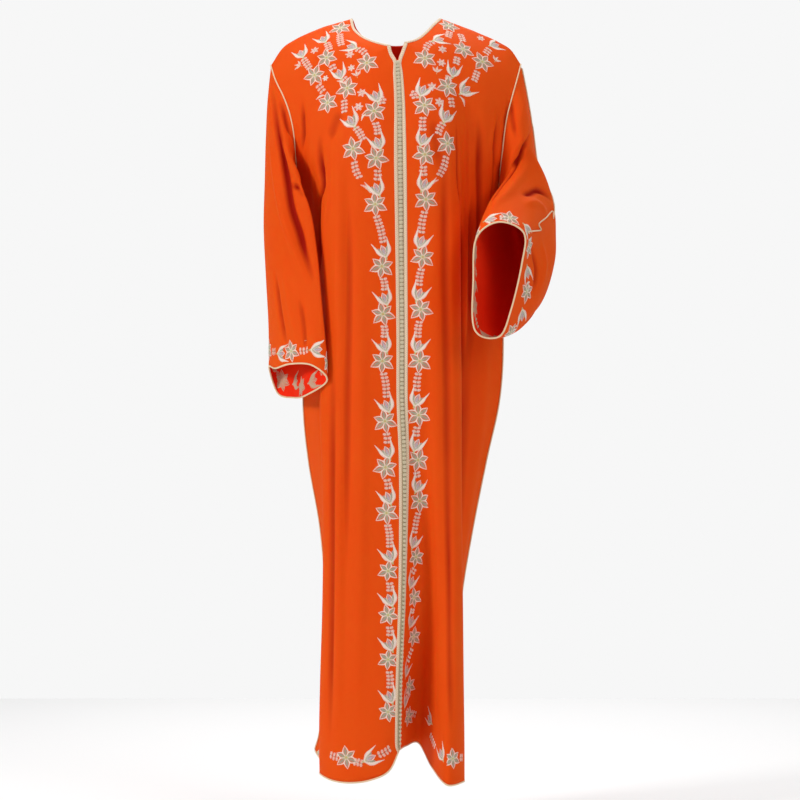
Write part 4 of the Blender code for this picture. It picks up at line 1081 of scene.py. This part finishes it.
VINE_LEFT = [
    # the same, down the wearer's left front
    (54, -74, -6), (53, -165, 14), (54, -260, -18), (56, -347, 5), (50, -458, -10), (46, -559, 12),
    (44, -659, -6), (42, -763, 8), (41, -850, -15), (44, -929, 3), (37, -1037, -9), (33, -1115, 12),
    (32, -1191, -4), (24, -1286, 10), (22, -1345, -8),
]
CHEST_RIGHT = [
    # motif, x, z, turn, size
    ("star", -109, -16, 4, 0.95), ("star", -136, -73, 18, 0.92), ("star", -159, -107, -14, 0.95),
    ("star", -134, -160, 10, 0.95), ("star", -96, -132, -6, 1.0), ("star", -85, -249, 12, 1.0),
    ("tulip", -80, -54, 72, 0.82), ("tulip", -139, -42, 42, 0.85), ("tulip", -182, -71, 38, 0.85),
    ("tulip", -108, -112, 28, 0.85), ("tulip", -83, -204, 36, 1.0), ("blossom", -159, -59, 0, 1),
    ("blossom", -91, -67, 20, 1), ("blossom", -88, -93, 5, 0.85), ("blossom", -68, -141, 12, 1),
    ("blossom", -74, -168, 30, 1), ("blossom", -138, -113, 30, 0.7), ("sprig", -186, -89, 80, 1),
    ("sprig", -77, -109, 20, 1), ("leaf", -109, -121, 70, 0.8), ("leaf", -64, -188, 150, 0.8),
    ("leaf", -60, -327, 52, 1.2), ("leaf", -147, -150, 115, 1),
]
CHEST_LEFT = [
    # motif, x, z, turn, size
    ("star", 100, -12, 8, 0.9), ("star", 128, -57, -6, 0.95), ("star", 165, -81, 12, 1.0),
    ("star", 98, -129, -16, 1.0), ("star", 98, -239, 6, 1.0), ("tulip", 73, -40, -70, 0.85),
    ("tulip", 108, -108, -20, 0.85), ("tulip", 125, -141, -58, 0.95), ("tulip", 92, -195, -28, 1.0),
    ("tulip", 182, -50, -78, 0.8), ("blossom", 88, -57, 0, 1), ("blossom", 86, -83, 25, 1),
    ("blossom", 68, -129, 10, 1), ("blossom", 82, -159, 0, 1), ("blossom", 162, -36, 15, 0.9),
    ("sprig", 77, -102, -15, 1), ("sprig", 190, -80, -45, 1), ("leaf", 126, -157, 205, 1.1),
    ("leaf", 71, -317, -52, 1.2),
]
FERNS_RIGHT = [
    # x, z of both ends, and how far the fern bows to the side
    (-110, -27, -107, -50, 1), (-79, -56, -60, -71, -5), (-136, -44, -130, -59, -1),
    (-126, -86, -122, -97, 0), (-104, -112, -96, -119, 0), (-102, -153, -102, -180, -1),
    (-81, -207, -65, -233, -2), (-181, -74, -168, -95, 0), (-153, -124, -142, -140, 0),
    (-83, -272, -71, -306, 3), (-34, -147, -30, -163, -4),
]
FERNS_LEFT = [
    # the same, on the wearer's left
    (102, -22, 99, -34, 0), (71, -42, 56, -58, 4), (122, -27, 128, -42, 0), (117, -71, 114, -86, 0),
    (101, -108, 99, -116, 0), (104, -149, 107, -169, 0), (91, -198, 80, -222, 3),
    (179, -55, 171, -66, 0), (156, -98, 149, -119, 0), (36, -135, 38, -152, 5), (96, -262, 81, -302, -3),
]
HEM_RIGHT = [
    # motif, x, z, turn, size
    ("tulip", -152, -1414, -96, 0.8), ("star", -98, -1424, 8, 0.95), ("tulip", -61, -1430, -62, 0.9),
]
HEM_LEFT = [
    # the same, on the wearer's left
    ("tulip", 66, -1356, 55, 0.85), ("tulip", 88, -1426, 32, 0.85), ("star", 108, -1426, 5, 0.85),
]
VINE_TULIP = 20
FERN_TOP, FERN_LOW = -22, 44
HEM_FERNS_RIGHT = [(-130, -1417, -112, -1424, 1), (-85, -1432, -66, -1436, -1), (-38, -1420, -12, -1405, 2)]
HEM_FERNS_LEFT = [(18, -1334, 46, -1340, 2), (64, -1378, 74, -1404, 1), (121, -1424, 127, -1424, 0)]
BAND_UNIT = [("star", 0.0, 0), ("fern", 21.0, -90), ("tulip", 50.0, -90)]
BAND_LENGTH = 88.0
BAND_START = 16
HEM_ABOVE, CUFF_ABOVE = 30.0, 27.0


def satin(line, halves, thread, pitch=PITCH, lean=0.0):
    """Stitches side by side across a curved line, reaching as far to each side as the half widths say."""
    line = np.array(line, float)
    at = np.linspace(0, len(line) - 1, max(3, round(length_along(line)[-1] / pitch)))
    middle = along(line, at)
    way = unit(np.gradient(middle, axis=0))
    side = np.stack([-way[:, 1], way[:, 0]], axis=1)
    half = np.interp(at, np.linspace(0, len(line) - 1, len(halves)), halves)[:, None]
    reach = unit(side + way * lean) * half
    wide = np.full((len(at), 1), pitch * 0.98)
    return np.concatenate([middle - reach, middle + reach, wide, wide * 0 + thread], axis=1)


def stem(line, thread, width=1.0):
    """A row of stitches end to end along a curved line."""
    line = np.array(line, float)
    points = spaced(line, max(2, round(length_along(line)[-1] / STEM_STITCH) + 1))
    wide = np.full((len(points) - 1, 1), width)
    return np.concatenate([points[:-1], points[1:], wide, wide * 0 + thread], axis=1)


def turned(stitches, degrees, size=1.0, shift=(0, 0), mirrored=False):
    """The same stitches turned anticlockwise, resized and moved."""
    a = math.radians(degrees)
    spin = np.array([[math.cos(a), math.sin(a)], [-math.sin(a), math.cos(a)]]) * size
    new = stitches.copy()
    for ends in (slice(0, 2), slice(2, 4)):
        flat = new[:, ends] * (-1 if mirrored else 1, 1)
        new[:, ends] = flat @ spin + shift
    return new


def star():
    petal = [satin([(0, 4), (0, 18.5)], [1.2, 3.4, 3.9, 2.9, 0.8], OLIVE), stem([(0, 5), (0, 14)], DARK)]
    for side in (-1, 1):
        border = [(0.6 * side, 3), (4.6 * side, 8), (5.4 * side, 12.5), (3.1 * side, 18), (0, 23.5)]
        petal.append(satin(border, [0.7, 1.2, 1.45, 1.3, 0.6], PALE, lean=0.5))
    petal = np.concatenate(petal)
    petals = [turned(petal, 60 * n, s) for n, s in enumerate((1.0, 0.93, 1.04, 0.96, 1.05, 0.92))]
    rays = [turned(stem([(0, 2), (0, 8.5)], SAGE, 2.0), 60 * n) for n in range(6)]
    return np.concatenate(petals + rays + [satin([(-4.6, 0), (4.6, 0)], [2.2, 4.6, 2.2], SAGE)])


def tulip():
    return np.concatenate([
        satin([(-1, 1), (-5, 10), (-8.5, 19)], [2.2, 4.2, 1.2], OLIVE),
        satin([(2, 1), (7.0, 10), (10.0, 18)], [2.2, 4.2, 1.2], OLIVE),
        satin([(0, 4), (0.4, 12), (0.3, 21)], [2.0, 3.8, 1.2], LILAC),
        stem([(0.2, 6), (0.4, 18)], DARK, 0.9),
        satin([(0, 3), (-4.8, 10), (-4.0, 17), (0.3, 24)], [0.9, 1.3, 1.3, 0.6], PALE, lean=0.4),
        satin([(0, 3), (5.4, 10), (4.6, 17), (0.3, 24)], [0.9, 1.3, 1.3, 0.6], PALE, lean=0.4),
        satin([(0, -3), (-9.5, 8), (-13.2, 19), (-18.4, 34)], [2.2, 4.4, 4.2, 2.6, 0.6], PALE, lean=0.5),
        satin([(0, -3), (12.0, 8), (14.6, 20.5), (17.4, 36)], [2.2, 4.4, 4.2, 2.6, 0.6], PALE, lean=-0.5),
        satin([(0, -8), (0, 2)], [1.4, 3.4, 2.8], SAGE),
    ])


def fern(length, bow=0.0):
    """Pairs of plump grains up both sides of a thin dark stem."""
    line = [(0, 0), (bow, length / 2), (0, length)]
    parts = [stem(line, DARK, 0.9)]
    count = max(2, round(length / 6.9))
    spots = along(np.array(line, float), (np.arange(count) + 0.5) / count * 2)
    for n, (x, y) in enumerate(spots):
        grown = 1.0 - 0.2 * abs(n + 0.5 - count / 2) / count
        for side in (-1, 1):
            reach = [(1.2 * side, 0), (3.9 * side, 0.6), (6.7 * side, 1.5)]
            parts.append(turned(satin(reach, [2.3, 3.3, 2.1], PALE, 1.05), 0, grown, (x, y)))
    return np.concatenate(parts)


def blossom():
    petal = satin([(0, 1.8), (0, 4.8), (0, 8.2)], [1.4, 2.9, 1.5], PALE, 1.05)
    heart = satin([(-1.5, 0), (1.5, 0)], [1.5, 1.5], LILAC)
    return np.concatenate([turned(petal, 60 * n + 8) for n in range(6)] + [heart])


def sprig():
    leaf = satin([(0, 2), (0.8, 7.5), (0, 13.5)], [0.9, 2.7, 0.7], PALE)
    return np.concatenate([turned(leaf, a) for a in (-42, 0, 42)] + [stem([(0, -4), (0, 3)], SAGE)])


def leaf():
    blade = satin([(0, -9), (3.0, 0), (0.4, 10)], [0.7, 2.9, 0.7], PALE)
    return np.concatenate([blade, stem([(0, -7), (2.2, 0)], SAGE, 0.8)])


MOTIFS = {"star": star(), "tulip": tulip(), "blossom": blossom(), "sprig": sprig(), "leaf": leaf()}
ground_of, worked = {}, {}
for name, (grid, _) in panels.items():
    rows, columns = grid.shape[:2]
    quads = numbered(squares(rows - 1, columns if name.startswith("sleeve") else columns - 1), rows, columns)
    ground_of[name] = BVHTree.FromPolygons(grid.reshape(-1, 3).tolist(), quads.tolist())
    worked[name] = []
eye = Vector((CAMERA_X, -CAMERA_FAR, CAMERA_Z))


def sewn(name, stitches, place, up, facing, under=0.0):
    """Lays stitches on a panel about a place, flat along its own up direction, then down onto the cloth."""
    tree = ground_of[name]
    up = unit(up - facing * np.dot(up, facing))
    right_way = np.cross(up, facing)
    starts = place + stitches[:, :1] * right_way + stitches[:, 1:2] * up
    ends = place + stitches[:, 2:3] * right_way + stitches[:, 3:4] * up
    for start, end, wide, thread in zip(starts, ends, stitches[:, 4], stitches[:, 5]):
        spots = []
        for point in (start, (start + end) / 2, end):
            found, normal, _, gap = tree.find_nearest(Vector(point))
            if found is None or gap > STITCH_REACH:
                break
            off = Vector(point) - found
            if (off - normal * off.dot(normal)).length > STITCH_SLIP:
                break
            if normal.dot(Vector(facing)) < 0:
                normal = -normal
            spots.append((np.array(found + normal * under), np.array(normal)))
        if len(spots) == 3:
            worked[name].append((spots, wide, int(thread)))


def seen(name, x, z):
    """The place on a panel that shows at x, z in the picture, and the way out of it."""
    aim = (Vector((x, 0, z)) - eye).normalized()
    found, normal, _, _ = ground_of[name].ray_cast(eye, aim)
    if found is None:
        found, normal, _, _ = ground_of[name].find_nearest(Vector((x, -60, z)))
    if normal.y > 0:
        normal = -normal
    return np.array(found), np.array(normal)


def sew_seen(name, stitches, x, z, degrees, size, mirrored=False):
    place, facing = seen(name, x, z)
    sewn(name, turned(stitches, degrees, size, mirrored=mirrored), place, np.array([0.0, 0.0, 1.0]), facing)


def sew_fern(name, x0, z0, x1, z1, bow):
    start, facing = seen(name, x0, z0)
    end, _ = seen(name, x1, z1)
    sewn(name, fern(np.linalg.norm(end - start), bow), start, end - start, facing)


for name, vine, chest, ferns, hem, hem_ferns, mirrored in (
    ("front_right", VINE_RIGHT, CHEST_RIGHT, FERNS_RIGHT, HEM_RIGHT, HEM_FERNS_RIGHT, False),
    ("front_left", VINE_LEFT, CHEST_LEFT, FERNS_LEFT, HEM_LEFT, HEM_FERNS_LEFT, True),
):
    inward = -1 if mirrored else 1
    for n, (x, z, degrees) in enumerate(vine):
        sew_seen(name, MOTIFS["star"], x, z, degrees, 1.0 if z > SMALL_STARS_FROM else SMALL_STAR)
        if n + 1 < len(vine):
            to_x, to_z, _ = vine[n + 1]
            sew_seen(name, MOTIFS["tulip"], to_x + 7 * inward, to_z + VINE_TULIP, 23 * inward, 0.9, mirrored)
            if n > 0:
                sew_fern(name, to_x + 3 * inward, to_z + FERN_LOW, x + 2 * inward, z + FERN_TOP, 2 * inward)
    for kind, x, z, degrees, size in chest + hem:
        sew_seen(name, MOTIFS[kind], x, z, degrees, size, mirrored and kind != "star")
    for x0, z0, x1, z1, bow in ferns + hem_ferns:
        sew_fern(name, x0, z0, x1, z1, bow)


def band(name, above, first, last, inside=False):
    """The vine along a panel's lower edge, worked that far above it, or its reverse on the inside."""
    grid, out = panels[name]
    rise = np.concatenate([[0], np.cumsum(np.linalg.norm(np.diff(grid[::-1], axis=0), axis=-1).mean(axis=1))])
    row = len(grid) - 1 - int(np.argmin(abs(rise - above)))
    line, facing, lifts = grid[row], out[row], grid[row - 3] - grid[row]
    run = length_along(line)
    units = max(1, round((run[-1] - first - last) / BAND_LENGTH))
    stretch = (run[-1] - first - last) / units
    for n in range(units):
        for kind, offset, degrees in BAND_UNIT:
            place = first + (n + offset / BAND_LENGTH) * stretch + BAND_START
            j = int(np.argmin(abs(run - place)))
            motif = fern(24, 2) if kind == "fern" else MOTIFS[kind]
            sway = -3 if (n + len(kind)) % 2 else 2
            stitches = turned(motif, degrees + (n * 17) % 9, 0.92, (0, sway))
            # Painted shade: inside the cuff every stitch takes the muted reverse colour
            if inside:
                stitches[:, 5] = SHADED_REVERSE
            toward, under = (-facing[j], CLOTH) if inside else (facing[j], 0.0)
            sewn(name, stitches, line[j], lifts[j], toward, under)


band("back", HEM_ABOVE, 20, 20)
band("sleeve_right", CUFF_ABOVE, 0, 0)
band("sleeve_left", CUFF_ABOVE, 0, 0)
band("sleeve_left", CUFF_ABOVE, 8, 0, inside=True)
band("sleeve_right", CUFF_ABOVE, 8, 0, inside=True)

twist, given, result = grouped("silk_strands", [("Scale", 900.0)], ["Strand", "Fade"])
feed(twist, result.inputs["Strand"], patches(twist, given.outputs["Scale"], 2.0))
feed(twist, result.inputs["Fade"], patches(twist, 30.0, 2.0))
silks = []
for name, light_colour, dark_colour in THREADS:
    silk, tree, shader = surface(name + "_silk")
    strands = wired(tree, "ShaderNodeGroup", node_tree=twist).outputs
    colour = blended(tree, strands["Strand"], dark_colour, light_colour)
    faded = [0.25 * c + 0.75 * d for c, d in zip((0.9, 0.85, 0.8), light_colour)]
    finished(tree, shader, blended(tree, strands["Fade"], colour, faded), [(0.3, 0.0002, strands["Strand"])],
             Roughness=0.38, Specular_IOR_Level=0.45, Sheen_Weight=0.15)
    silks.append(silk)

# A stitch is a low lozenge of thread over three spots: its foot on the left, its crown, its foot on the right
STITCH_FACES = [(0, 1, 4, 3), (1, 2, 5, 4), (3, 4, 7, 6), (4, 5, 8, 7)]
STITCH_FOOT = 0.04
for name, stitches in worked.items():
    if not stitches:
        continue
    points, faces, colours = [], [], []
    for spots, wide, thread in stitches:
        way = unit(spots[2][0] - spots[0][0])
        faces += [tuple(len(points) + n for n in face) for face in STITCH_FACES]
        for (place, normal), share, lift in zip(spots, (0.45, 1.0, 0.45), (0.25, 1.0, 0.25)):
            side = unit(np.cross(way, normal)) * wide / 2 * share
            foot, crown = normal * STITCH_FOOT, normal * THREAD_HEIGHT * lift
            points += [place - side + foot, place + crown, place + side + foot]
        colours += [thread] * len(STITCH_FACES)
    piece = shown("embroidery_" + name, points, faces)
    for silk in silks:
        piece.data.materials.append(silk)
    piece.data.polygons.foreach_set("material_index", colours)


# Sizes of the finished model beside the frame's
whole_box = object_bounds()
corners = {"cad": [list(corner) for corner in cad_box], "scene": [list(corner) for corner in whole_box]}
